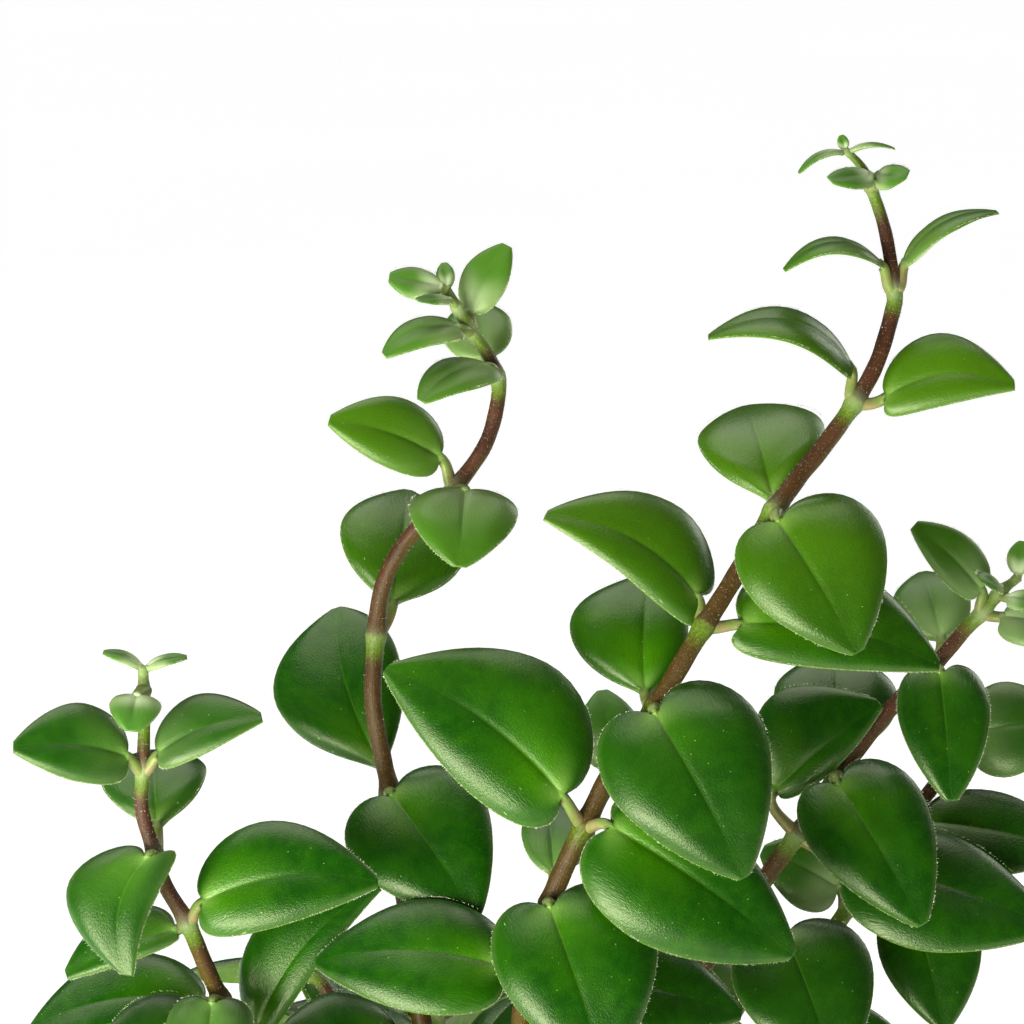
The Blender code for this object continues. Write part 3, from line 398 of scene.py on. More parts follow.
BACK_MIDDLE_SHOOT = Shoot(
    "back_middle_shoot",
    8,
    (
        (622, 752, 30, 0.9), (632, 800, 31, 1.2), (640, 870, 32, 1.5), (630, 940, 33, 1.7),
        (612, 1010, 34, 1.8), (590, 1100, 38, 1.9), (572, 1180, 44, 1.9),
    ),
    (10, 26),
    (),
    (
        Leaf(1, (614, 770, 30), (602, 690, 34), 6.5, 7, (0, 0.3, 1), 2, 0, 0.2),
        Leaf(1, (650, 794, 30), (738, 776, 28), 9, 9, (0, 0.5, 1), 2, 0, 0.5),
        Leaf(2, (655, 868, 34), (768, 884, 40), 11, 11, (0, 0.4, 1), 2, 0, 0.5),
        Leaf(3, (612, 940, 33), (512, 952, 38), 11, 11, (0, 0.6, 1), 2, 0, 0.5),
        Leaf(3, (648, 930, 38), (742, 902, 57), 9, 9, (0, 0.6, 1), 2, 0, 0.5),
        Leaf(4, (618, 1006, 44), (640, 990, 72), 11, 11, (0, 1, 0.3), 3, 0, 0.5),
        Leaf(4, (590, 1015, 34), (490, 1030, 44), 11, 11, (0, 0.8, 1), 2, 0, 0.5),
    ),
)

MAIN_SHOOTS = (LEFT_SHOOT, MIDDLE_SHOOT, TALL_SHOOT, RIGHT_SHOOT)
GROWN_SHOOTS = (BACK_RIGHT_SHOOT, BACK_MIDDLE_SHOOT)

# Side shoots, each with its foot's heading and radius in mm and its branches from that foot
SIDE_SHOOTS = (
    ("front_left_shoot", 226, 31, (Branch(230, 38, 104, 0, 5, 5, 31),)),
    ("front_shoot", 278, 28, (Branch(276, 30, 90, -6, -2, 4, 28),)),
    ("front_right_shoot", 322, 31, (Branch(328, 44, 106, 4, 4, 5, 31),)),
    ("right_low_shoot", 14, 36, (Branch(12, 34, 104, -4, -4, 5, 30),)),
    ("back_left_shoot", 118, 33, (Branch(112, 46, 106, 6, -6, 5, 31), Branch(150, 56, 68, 50, 0, 3, 27))),
    ("left_low_shoot", 176, 38, (Branch(171, 33, 104, -4, 6, 5, 30),)),
)

SIDE_STEM_RADIUS = 1.9 * MM
SIDE_STEM_TAPER = 0.6
SIDE_STEM_STEPS = 60
# A branch's arch: handles out in mm and over its reach, handles up over its height, and how fast
# it turns from its foot's heading to its own
ARCH_START = 4
ARCH_SHOULDER = 0.7
ARCH_CROWN = 1.35
ARCH_TURN = 3
BRANCH_LOOK_AHEAD = 0.03
SIDE_FIRST_PAIR = 0.34
SIDE_LAST_PAIR = 0.93
SIDE_LEAF_SWEEP = (68, 50)
SIDE_LEAF_SHINGLE = math.radians(30)
SIDE_TIP_SHRINK = 0.55
# Shares of a side leaf's length: half width, petiole, lift at its base, droop and bow of its blade
SIDE_LEAF_HALF = 0.4
SIDE_LEAF_STALK = 0.16
SIDE_LEAF_LIFT = 0.15
SIDE_LEAF_DROOP = 0.12
SIDE_LEAF_RISE = 0.1
SIDE_LEAF_HEART = 0.7
# A bud leaf: its length as a share of the branch's leaves, then its spread, lift and lean, and as
# shares of its own length how far it starts past the tip, its half width and its root's depth
BUD_LEAF = 0.26
BUD_SPREAD = 0.75
BUD_LIFT = 0.3
BUD_LEAN = 0.4
BUD_START = 0.12
BUD_HALF = 0.3
BUD_ROOT = 0.2

# Stage: the floor's and the flag's sizes in metres, the camera's sensor in mm
STUDIO_FLOOR_RADIUS = 40
FLOOR_GLOW = 0.34
FLAG_RADIUS = 1.7
FLAG_DEPTH = 0.68
FLAG_HEIGHT = 0.37
SENSOR_WIDTH = 36
# Softboxes: name, place, width and height in metres, and power in watts
SOFTBOXES = (
    ("front_left", (-0.7, -0.8, 0.24), 0.7, 0.4, 9),
    ("low_front", (-0.32, -0.58, 0.08), 0.6, 0.17, 6.5),
    ("back_right", (0.8, 0.8, 0.75), 0.6, 0.6, 4),
)
# The world's walls end between these heights of a view direction, and how bright they and the top are
WALLS_END = (0.09, 0.22)
WALL_GLOW = 0.96
CEILING_GLOW = 0.08
OVERHEAD_POWER = 2.1
OVERHEAD_SPREAD = math.radians(60)
OVERHEAD_DIRECTION = (0.12, -0.3, -1)


def unit(vector):
    return vector / np.linalg.norm(vector)


def units(vectors):
    return vectors / np.linalg.norm(vectors, axis=1)[:, None]


def stacked(size, *parts):
    """The parts of a surface value for every point of a grid of rings."""
    return np.stack([np.broadcast_to(part, size) for part in parts], axis=-1)


def new_object(name, data):
    made = bpy.data.objects.new(name, data)
    bpy.context.scene.collection.objects.link(made)
    return made


def smoothstep(low, high, value):
    t = np.clip((value - low) / (high - low), 0, 1)
    return t * t * (3 - 2 * t)


def bezier(a, b, c, d, t):
    """A cubic Bezier curve's point; works on numbers and on vectors."""
    s = 1 - t
    return a * s ** 3 + b * (3 * s * s * t) + c * (3 * s * t * t) + d * t ** 3


def between(tapered, heart_shaped, heart):
    """Handles between those of a tapered base and those of a heart."""
    return [a + (b - a) * heart for a, b in zip(tapered, heart_shaped)]


def in_view(column_px, row_px, back_mm, lean_mm):
    """The point at a column and row of the front view, a distance behind its middle plane."""
    leaning = (LEAN_STARTS_ROW - row_px) / (LEAN_STARTS_ROW - LEAN_FULL_ROW)
    back = (back_mm + lean_mm * min(1, max(0, leaning))) * MM
    spread = VIEW_STEP * (1 + back / VIEW_DISTANCE)
    across = (column_px - VIEW_HALF) * spread
    up = (VIEW_HALF - row_px) * spread
    return VIEW_CENTRE + VIEW_RIGHT * across + VIEW_UP * up + VIEW_BACK * back


def smooth_curve(points, values, step):
    """Points and values along a Catmull-Rom curve through the given ones, and where those are in it."""
    line, radii, joints = [], [], []
    ends = [points[0] * 2 - points[1], *points, points[-1] * 2 - points[-2]]
    for i in range(len(points) - 1):
        before, start, end, after = ends[i:i + 4]
        joints.append(len(line))
        count = max(1, round(np.linalg.norm(end - start) / step))
        for k in range(count):
            t = k / count
            line.append(0.5 * (
                2 * start + (end - before) * t
                + (2 * before - 5 * start + 4 * end - after) * t ** 2
                + (3 * start - before - 3 * end + after) * t ** 3
            ))
            radii.append(values[i] + (values[i + 1] - values[i]) * t)
    joints.append(len(line))
    line.append(points[-1])
    radii.append(values[-1])
    return np.array(line), np.array(radii), joints


class Piece:
    """The points, faces and surface values of one visible piece, gathered shape by shape.

    Surface values, per point of a leaf: place is (across, along) in mm and a seed; shape is the
    share across, the share along and the distance from the margin in mm; kind is 1 on an
    underside, then youth from 0 to 1. A stem's place is twice the cosine and sine round it, then
    the distance from its tip in mm; its shape starts with how downy it is, and its kind is 0,
    youth and how green it is. Kind starts with 1 on a pale grain in the soil.
    """

    def __init__(self, materials):
        self.materials = materials
        self.points, self.place, self.shape, self.kind = [], [], [], []
        self.faces, self.slots = [], []
        self.count = 0

    def add_points(self, points, place, shape, kind):
        first = self.count
        stores = (self.points, self.place, self.shape, self.kind)
        for store, values in zip(stores, (points, place, shape, kind)):
            store.append(np.asarray(values, float).reshape(-1, 3))
        self.count += len(self.points[-1])
        return first

    def add_faces(self, faces, material):
        self.faces += faces
        self.slots += [self.materials.index(material)] * len(faces)

    def add_loft(self, rings, place, shape, kind, material, end):
        """A closed skin over rings of points that turn about the way they advance, to a pointed end."""
        count, sides = rings.shape[:2]
        first = self.add_points(rings, place, shape, kind)
        faces = []
        for ring in range(count - 1):
            low = first + ring * sides
            for k in range(sides):
                j = (k + 1) % sides
                faces.append((low + k, low + j, low + sides + j, low + sides + k))
        faces.append(tuple(first + k for k in reversed(range(sides))))
        last = first + (count - 1) * sides
        tip = self.add_points(end, *(values[-1].mean(axis=0) for values in (place, shape, kind)))
        faces += [(last + k, last + (k + 1) % sides, tip) for k in range(sides)]
        self.add_faces(faces, material)

    def add_hairs(self, roots, directions, lengths, material):
        """Fine pointed hairs, each a closed three-sided spike."""
        if not len(roots):
            return
        directions = units(directions)
        helper = np.where(np.abs(directions[:, 2:3]) > 0.9, (1.0, 0, 0), (0, 0, 1.0))
        one = units(np.cross(directions, helper))
        two = np.cross(directions, one)
        corners = []
        for k in range(HAIR_CORNERS):
            angle = 2 * math.pi * k / HAIR_CORNERS
            corners.append(roots + (one * math.cos(angle) + two * math.sin(angle)) * HAIR_RADIUS)
        corners.append(roots + directions * lengths[:, None])
        points = np.stack(corners, axis=1)
        values = np.zeros(points.shape)
        first = self.add_points(points, values, values, values)
        faces = []
        for i in range(len(roots)):
            a = first + 4 * i
            faces += [(a, a + 1, a + 3), (a + 1, a + 2, a + 3), (a + 2, a, a + 3), (a, a + 2, a + 1)]
        self.add_faces(faces, material)

    def make(self, name, node):
        """The gathered shapes as one object that stands for a CAD node."""
        mesh = bpy.data.meshes.new(name)
        mesh.from_pydata(np.concatenate(self.points).tolist(), [], self.faces)
        mesh.shade_smooth()
        for label, store in (("place", self.place), ("shape", self.shape), ("kind", self.kind)):
            values = np.concatenate(store).astype(np.float32)
            mesh.attributes.new(label, "FLOAT_VECTOR", "POINT").data.foreach_set("vector", values.ravel())
        for material in self.materials:
            mesh.materials.append(material)
        mesh.polygons.foreach_set("material_index", self.slots)
        mesh.update()
        settle(new_object(name, mesh), node)


def settle(piece, node):
    """The piece stands for the CAD node and rides on the only body."""
    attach(piece, "root")
    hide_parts(node)


class Blade:
    """A leaf's midrib, directions and margin; right and left are seen from base to tip."""

    def __init__(self, base, tip, face, left, right, rise, sway, heart):
        self.base = base
        self.chord = tip - base
        self.length = np.linalg.norm(self.chord)
        along = unit(self.chord)
        self.up = unit(face - along * face.dot(along))
        self.side = np.cross(along, self.up)
        self.left, self.right = left, right
        self.rise, self.sway = rise, sway
        self.heart = heart
        self.stalk = min(PETIOLE_RADIUS, STALK_SHARE * (left + right))
        self.thick = min(BLADE_HALF_THICKNESS, self.stalk)
        self.youth = float(1 - smoothstep(*LEAF_YOUTH, self.length))

    def midrib(self, t):
        """The midrib's points; behind the base it runs straight on."""
        t = np.asarray(t, float)[..., None]
        bow = np.where(t > 0, 4 * t * (1 - t), 4 * t)
        return self.base + self.chord * t + self.up * (self.rise * bow) + self.side * (self.sway * bow)

    def outline(self, share):
        """Shares along, out and along the midrib, for shares of the way round half the margin."""
        back = between(TAPERED_ALONG, HEART_ALONG, self.heart)
        round_out = between(TAPERED_OUT, HEART_OUT, self.heart)
        widest = back[-1]
        blunt = max(YOUNG_BLUNTNESS * self.youth, -TAPERED_BLUNTNESS * self.heart)
        onward = (widest, widest + SHOULDER_REACH, TIP_REACH + (1 - TIP_REACH) * blunt, 1)
        t = np.clip(share / WIDEST_SHARE, 0, 1)
        u = np.clip((share - WIDEST_SHARE) / (1 - WIDEST_SHARE), 0, 1)
        first = share < WIDEST_SHARE
        along = np.where(first, bezier(*back, t), bezier(*onward, u))
        out = np.where(first, bezier(*round_out, t), bezier(*TIP_OUT, u))
        beyond = WIDEST_MIDRIB + (1 - WIDEST_MIDRIB) * (along - widest) / (1 - widest)
        return along, out, np.where(first, WIDEST_MIDRIB * t, beyond)

    def margin(self, along, out, sign):
        """Points of the margin: sign is 1 on the leaf's right and -1 on its left."""
        half = self.right if sign > 0 else self.left
        width = self.stalk + (half - self.stalk) * out
        points = self.midrib(along) + self.side * (sign * width)[:, None] + self.up * (FOLD * width)[:, None]
        return points, width


def blade_rings(blade, seed):
    """Rings of points from a blade's base to just before its tip, with their surface values."""
    chance = random.Random(seed)
    share = np.concatenate([
        np.linspace(0, WIDEST_SHARE, RINGS_TO_WIDEST, endpoint=False),
        1 - (1 - WIDEST_SHARE) * np.linspace(1, 0, RINGS_TO_TIP, endpoint=False) ** TIP_CROWDING,
    ])
    along, out, mid = blade.outline(share)
    spine = blade.midrib(mid)
    right, right_width = blade.margin(along, out, 1)
    left, left_width = blade.margin(along, out, -1)
    top = np.array([*(-u for u in reversed(ACROSS[1:])), *ACROSS])
    across = np.concatenate([top, top[-2:0:-1]])
    under = np.concatenate([np.zeros(len(top)), np.ones(len(top) - 2)])
    far = np.abs(across)
    to_margin = np.where(across[None, :, None] > 0, (right - spine)[:, None], (left - spine)[:, None])
    points = spine[:, None] + to_margin * far[None, :, None]
    width = np.where(across[None, :] > 0, right_width[:, None], left_width[:, None])
    phase, turns = chance.uniform(0, 6), chance.uniform(*WAVE_TURNS)
    wave = WAVE * width * far ** 2 * np.sin(phase + along[:, None] * turns * 6 + across * 2)
    height = skin_height(blade, share, mid, width, far, under) + blade_dome(share, mid, width, far) + wave
    points = points + blade.up * height[..., None]
    size = points.shape[:2]
    place = stacked(size, width * across / MM, (mid * blade.length / MM)[:, None], seed)
    shape = stacked(size, across, mid[:, None], width * (1 - far) / MM)
    kind = stacked(size, under, blade.youth, 0)
    return points, place, shape, kind


def skin_height(blade, share, mid, width, far, under):
    """The blade's skin over its middle: thick at the petiole, round at the margin, grooved and keeled."""
    half = blade.thick * (1 - BLADE_THINNING * mid)
    half = half + (STALK_FIT * blade.stalk - half) * np.exp(-share / STALK_FADE)
    body = half[:, None] * np.sqrt(np.clip(1 - far ** MARGIN_ROUNDNESS, 0, 1))
    off = width * far
    fade = (1 - smoothstep(*GROOVE_FADES, mid)) * smoothstep(*GROOVE_STARTS, share)
    groove = GROOVE_DEPTH * np.exp(-(off / GROOVE_WIDTH) ** 2) * fade[:, None]
    growth = (1 - mid) * smoothstep(*DOME_GROWS, share)
    keel = KEEL_DEPTH * np.exp(-(off / KEEL_WIDTH) ** 2) * growth[:, None]
    return np.where(under > 0, -body - keel, body - groove)


def blade_dome(share, mid, width, far):
    """How far the blade's halves swell, with a valley at the midrib that fills towards the tip.

    Both domes are 1 at their highest; the second is level at the midrib.
    """
    grown = smoothstep(*DOME_GROWS, share)[:, None]
    valley = 4 * far * (1 - far)
    smooth = 6.75 * far ** 2 * (1 - far)
    filled = smoothstep(*VALLEY_FILLS, mid)[:, None]
    dome = DOME * width * (valley + (TIP_DOME * smooth - valley) * filled) * grown
    return dome - CURL * width * far ** MARGIN_ROUNDNESS * grown


def petiole_rings(blade, root, outward, across, under):
    """Rings of points from the stem to the blade's base, with their surface values."""
    start = blade.midrib(0)
    heading = unit(blade.midrib(LOOK_AHEAD) - start)
    length = np.linalg.norm(start - root)
    bend = PETIOLE_BEND * length
    launch = unit(outward + unit(start - root))
    path = (root, root + launch * bend, start - heading * bend, start)
    lift = np.sqrt(np.clip(1 - across ** 2, 0, 1)) * np.where(under > 0, -1, PETIOLE_FLATNESS)
    rings = []
    for i in range(PETIOLE_RINGS):
        t = i / PETIOLE_RINGS
        here = bezier(*path, t)
        forward = unit(bezier(*path, t + LOOK_AHEAD) - here)
        side = unit(blade.side - forward * blade.side.dot(forward))
        rise = np.cross(side, forward)
        radius = blade.stalk * (1 + PETIOLE_FLARE * (1 - t) ** 3)
        rings.append(here + (side[None] * across[:, None] + rise[None] * lift[:, None]) * radius)
    rings = np.array(rings)
    size = rings.shape[:2]
    back = np.linspace(-1, 0, PETIOLE_RINGS, endpoint=False)[:, None]
    place = stacked(size, across * blade.stalk / MM, back * length / MM, PETIOLE_TINT_SEED)
    shape = stacked(size, across, back, NO_MARGIN)
    kind = stacked(size, under, blade.youth, 0)
    return rings, place, shape, kind


def add_leaf(piece, blade, root, outward, seed, looks):
    """A petiole and its blade as one skin, with hairs along the margin."""
    blade_part = blade_rings(blade, seed)
    top = len(ACROSS) * 2 - 1
    across = blade_part[2][0, :, 0]
    under = np.arange(len(across)) >= top
    petiole_part = petiole_rings(blade, root, outward, across, under)
    skin = [np.concatenate(pair) for pair in zip(petiole_part, blade_part)]
    piece.add_loft(*skin, looks["leaf"], blade.midrib(1))
    add_margin_hairs(piece, blade, seed, looks)


def add_margin_hairs(piece, blade, seed, looks):
    """Short pale hairs along both margins, leaning towards the tip."""
    chance = np.random.default_rng(seed)
    count = max(FEWEST_MARGIN_HAIRS, int(MARGIN_OVER_LENGTH * blade.length / MARGIN_HAIR_STEP))
    for sign in (-1, 1):
        share = np.sort(chance.uniform(*MARGIN_HAIR_SPAN, count))
        along, out, mid = blade.outline(share)
        points, _ = blade.margin(along, out, sign)
        outward = units(points - blade.midrib(mid))
        lean = chance.uniform(*MARGIN_HAIR_LEAN, count)[:, None]
        scatter = chance.normal(0, MARGIN_HAIR_SCATTER, (count, 3))
        directions = outward + unit(blade.chord) * lean + scatter
        roots = points - outward * MARGIN_HAIR_SINK
        grown = OLD_MARGIN_HAIRS + YOUNG_MARGIN_EXTRA * blade.youth
        lengths = HAIR_LENGTH * chance.uniform(*MARGIN_HAIR_LENGTHS, count) * grown
        piece.add_hairs(roots, directions, lengths, looks["hair"])


def add_stem(piece, line, radii, joints, seed, looks):
    """A stem from its tip down to its foot, swollen and green at its leaf joints."""
    count = len(line)
    steps = np.linalg.norm(np.diff(line, axis=0), axis=1)
    travel = np.concatenate([[0], np.cumsum(steps)])
    below = travel[:, None] - travel[joints][None]
    near = np.min(np.abs(below), axis=1)
    swollen = 1 + NODE_SWELL * np.exp(-(near / NODE_REACH) ** 2)
    collar = (smoothstep(*COLLAR_STARTS, below) * (1 - smoothstep(*COLLAR_FADES, below))).max(axis=1)
    collar = collar * (1 - OLD_JOINT_FADING * smoothstep(*OLD_JOINTS, travel))
    green = np.maximum(1 - smoothstep(*GREEN_TIP, travel), collar)
    youth = 1 - smoothstep(*STEM_YOUTH, travel)
    downy = np.exp(-(near / DOWNY_REACH) ** 2) * youth
    angles = 2 * math.pi * np.arange(STEM_SIDES) / STEM_SIDES
    side = np.array((0.0, 1.0, 0.0))
    rings, normals = [], []
    phase = random.Random(seed).uniform(0, 6)
    for i, here in enumerate(line):
        forward = unit(line[min(i + 1, count - 1)] - line[max(i - 1, 0)])
        side = unit(side - forward * side.dot(forward))
        other = np.cross(forward, side)
        out = side[None] * np.cos(angles)[:, None] + other[None] * np.sin(angles)[:, None]
        uneven = 1 + RIDGES * np.sin(3 * angles + phase + travel[i] * RIDGE_WINDING)
        uneven = uneven + RIPPLES * np.sin(travel[i] * RIPPLE_SPACING + phase)
        rings.append(here + out * (radii[i] * swollen[i] * uneven)[:, None])
        normals.append(out)
    rings, normals = np.array(rings), np.array(normals)
    size = rings.shape[:2]
    place = stacked(size, 2 * np.cos(angles), 2 * np.sin(angles), (travel / MM)[:, None])
    shape = stacked(size, downy[:, None], 0.5, NO_MARGIN)
    kind = stacked(size, 0, youth[:, None], green[:, None])
    end = line[0] + unit(line[0] - line[1]) * radii[0]
    from_foot = [values[::-1, ::-1] for values in (rings, place, shape, kind)]
    piece.add_loft(*from_foot, looks["stem"], end)
    add_stem_hairs(piece, rings, normals, travel, youth, seed, looks)


def add_stem_hairs(piece, rings, normals, travel, youth, seed, looks):
    """Short pale hairs all round the younger part of a stem."""
    chance = np.random.default_rng(seed + STEM_HAIR_SEEDS)
    girth = np.linalg.norm(rings[:, 0] - rings.mean(axis=1), axis=1).mean() * 2 * math.pi
    count = int(travel[-1] * girth / STEM_HAIR_AREA)
    ring = chance.integers(0, len(rings), count)
    keep = chance.uniform(0, 1, count) < OLD_STEM_HAIRS + (1 - OLD_STEM_HAIRS) * youth[ring]
    ring = ring[keep]
    spoke = chance.integers(0, rings.shape[1], len(ring))
    roots = rings[ring, spoke] - normals[ring, spoke] * STEM_HAIR_SINK
    directions = normals[ring, spoke] + chance.normal(0, STEM_HAIR_SCATTER, (len(ring), 3))
    lengths = HAIR_LENGTH * chance.uniform(*STEM_HAIR_LENGTHS, len(ring)) * STEM_HAIR_SHORTNESS
    piece.add_hairs(roots, directions, lengths, looks["hair"])


def view_blade(leaf, lean):
    face = VIEW_RIGHT * leaf.face[0] + VIEW_UP * leaf.face[1] - VIEW_BACK * leaf.face[2]
    return Blade(
        in_view(*leaf.base, lean), in_view(*leaf.tip, lean), face, leaf.left * MM, leaf.right * MM,
        leaf.rise * MM, leaf.sway * MM, leaf.heart,
    )


def away_from(axis, joint, base):
    """The direction square to the stem's axis in which a leaf's base lies from its joint."""
    outward = base - joint
    return unit(outward - axis * outward.dot(axis))


def make_main_shoot(shoot, looks):
    """The stem with its tip leaves as one piece, and each larger leaf as its own."""
    points = [in_view(*spot[:3], shoot.lean) for spot in shoot.stem]
    radii = [spot[3] * MM for spot in shoot.stem]
    foot = np.array((shoot.foot[0] * MM, shoot.foot[1] * MM, SOIL_TOP))
    knee = foot + SKY * STEM_KNEE
    below = (knee, foot, foot - SKY * PLANTING_DEPTH)
    line, line_radii, places = smooth_curve([*points, *below], radii + [radii[-1]] * len(below), STEM_STEP)
    used = sorted({leaf.joint for leaf in (*shoot.leaves, *shoot.grown_leaves)})
    seed = SEED + len(points) * SHOOT_SEEDS
    piece = Piece([looks["stem"], looks["leaf"], looks["hair"]])
    add_stem(piece, line, line_radii, [places[joint] for joint in used], seed, looks)
    for number, leaf in enumerate(shoot.grown_leaves):
        blade = view_blade(leaf, shoot.lean)
        lower = [*points, knee][leaf.joint + 1]
        root = points[leaf.joint] * (1 - GROWN_ROOT_BELOW) + lower * GROWN_ROOT_BELOW
        add_leaf(piece, blade, root, unit(blade.base - root), seed + GROWN_LEAF_SEEDS + number, looks)
    node = shoot.name + "_stem" if shoot.leaves else shoot.name
    piece.make(node + "_looks", node)
    for number, leaf in enumerate(shoot.leaves, start=1):
        blade = view_blade(leaf, shoot.lean)
        joint = leaf.joint
        axis = unit(points[joint + 1] - points[joint - 1])
        outward = away_from(axis, points[joint], blade.base)
        root = points[joint] + outward * (PETIOLE_SINK * radii[joint])
        piece = Piece([looks["leaf"], looks["hair"]])
        add_leaf(piece, blade, root, outward, seed + number, looks)
        node = f"{shoot.name}_leaf_{number}"
        piece.make(node + "_looks", node)


def branch_point(branch, foot_radius, foot_heading, t):
    """A point along a branch's arch, t from 0 at the soil to 1 at the tip."""
    shoulder = ARCH_SHOULDER * branch.reach
    crown = ARCH_CROWN * branch.height
    out = bezier(foot_radius, foot_radius + ARCH_START, shoulder, branch.reach, t) * MM
    up = bezier(0, crown, crown, branch.end, t) * MM
    spread = (branch.heading - foot_heading) * min(1, ARCH_TURN * t)
    angle = math.radians(foot_heading + spread + branch.drift * math.sin(math.pi * t))
    return np.array((out * math.cos(angle), out * math.sin(angle), SOIL_TOP + up))


def pair_place(branch, pair):
    """How far along its branch a leaf pair sits."""
    return SIDE_FIRST_PAIR + (SIDE_LAST_PAIR - SIDE_FIRST_PAIR) * pair / (branch.pairs - 1)


def add_bud_leaves(piece, branch, place_at, seed, looks):
    """A half-open pair of small leaves at a branch's very tip."""
    end = place_at(1)
    forward = unit(end - place_at(1 - BRANCH_LOOK_AHEAD))
    length = BUD_LEAF * branch.leaf * MM
    across = unit(np.cross(forward, SKY))
    face = np.cross(across, forward)
    for hand in (-1, 1):
        along = unit(forward + across * (hand * BUD_SPREAD) + face * BUD_LIFT)
        base = end + along * (BUD_START * length)
        half = BUD_HALF * length
        leaning = unit(face - forward * BUD_LEAN)
        blade = Blade(base, base + along * length, leaning, half, half, SIDE_LEAF_RISE * length, 0, 0)
        add_leaf(piece, blade, end - forward * (BUD_ROOT * length), along, seed + hand, looks)


def add_branch_leaves(piece, branch, place_at, seed, looks):
    """Pairs of leaves along a branch, shingled and swept forward, smaller towards its tip."""
    for pair in range(branch.pairs):
        share = pair / (branch.pairs - 1)
        t = pair_place(branch, pair)
        joint = place_at(t)
        forward = unit(place_at(t + BRANCH_LOOK_AHEAD) - place_at(t - BRANCH_LOOK_AHEAD))
        length = branch.leaf * MM * (1 - (1 - SIDE_TIP_SHRINK) * share ** 2)
        sweep = math.radians(SIDE_LEAF_SWEEP[pair % 2])
        across = unit(np.cross(forward, SKY))
        above = np.cross(across, forward)
        face = above * math.cos(SIDE_LEAF_SHINGLE) + forward * math.sin(SIDE_LEAF_SHINGLE)
        for hand in (-1, 1):
            swept = forward * math.cos(sweep) + across * (hand * math.sin(sweep))
            along = unit(swept + above * SIDE_LEAF_LIFT)
            base = joint + along * (SIDE_LEAF_STALK * length + SIDE_STEM_RADIUS)
            tip = base + along * length - SKY * (SIDE_LEAF_DROOP * length)
            half = SIDE_LEAF_HALF * length
            blade = Blade(base, tip, face, half, half, SIDE_LEAF_RISE * length, 0, SIDE_LEAF_HEART)
            add_leaf(piece, blade, joint, along, seed + 2 * pair + (hand > 0), looks)


def make_side_shoot(name, heading, foot_radius, branches, looks):
    """A low arching shoot of one or two branches."""
    piece = Piece([looks["stem"], looks["leaf"], looks["hair"]])
    seed = SEED + heading
    for number, branch in enumerate(branches):
        def place_at(t, branch=branch):
            return branch_point(branch, foot_radius, heading, t)

        shares = [i / SIDE_STEM_STEPS for i in range(SIDE_STEM_STEPS, -1, -1)]
        line = np.array([place_at(t) for t in shares] + [place_at(0) - SKY * PLANTING_DEPTH])
        radii = np.array([SIDE_STEM_RADIUS * (1 - SIDE_STEM_TAPER * t) for t in shares] + [SIDE_STEM_RADIUS])
        joints = [round((1 - pair_place(branch, pair)) * SIDE_STEM_STEPS) for pair in range(branch.pairs)]
        branch_seed = seed + BRANCH_SEEDS * number
        add_stem(piece, line, radii, joints, branch_seed, looks)
        add_branch_leaves(piece, branch, place_at, branch_seed + BRANCH_LEAF_SEEDS, looks)
        add_bud_leaves(piece, branch, place_at, branch_seed + BUD_SEEDS, looks)
    piece.make(name + "_looks", name)


# Procedural looks

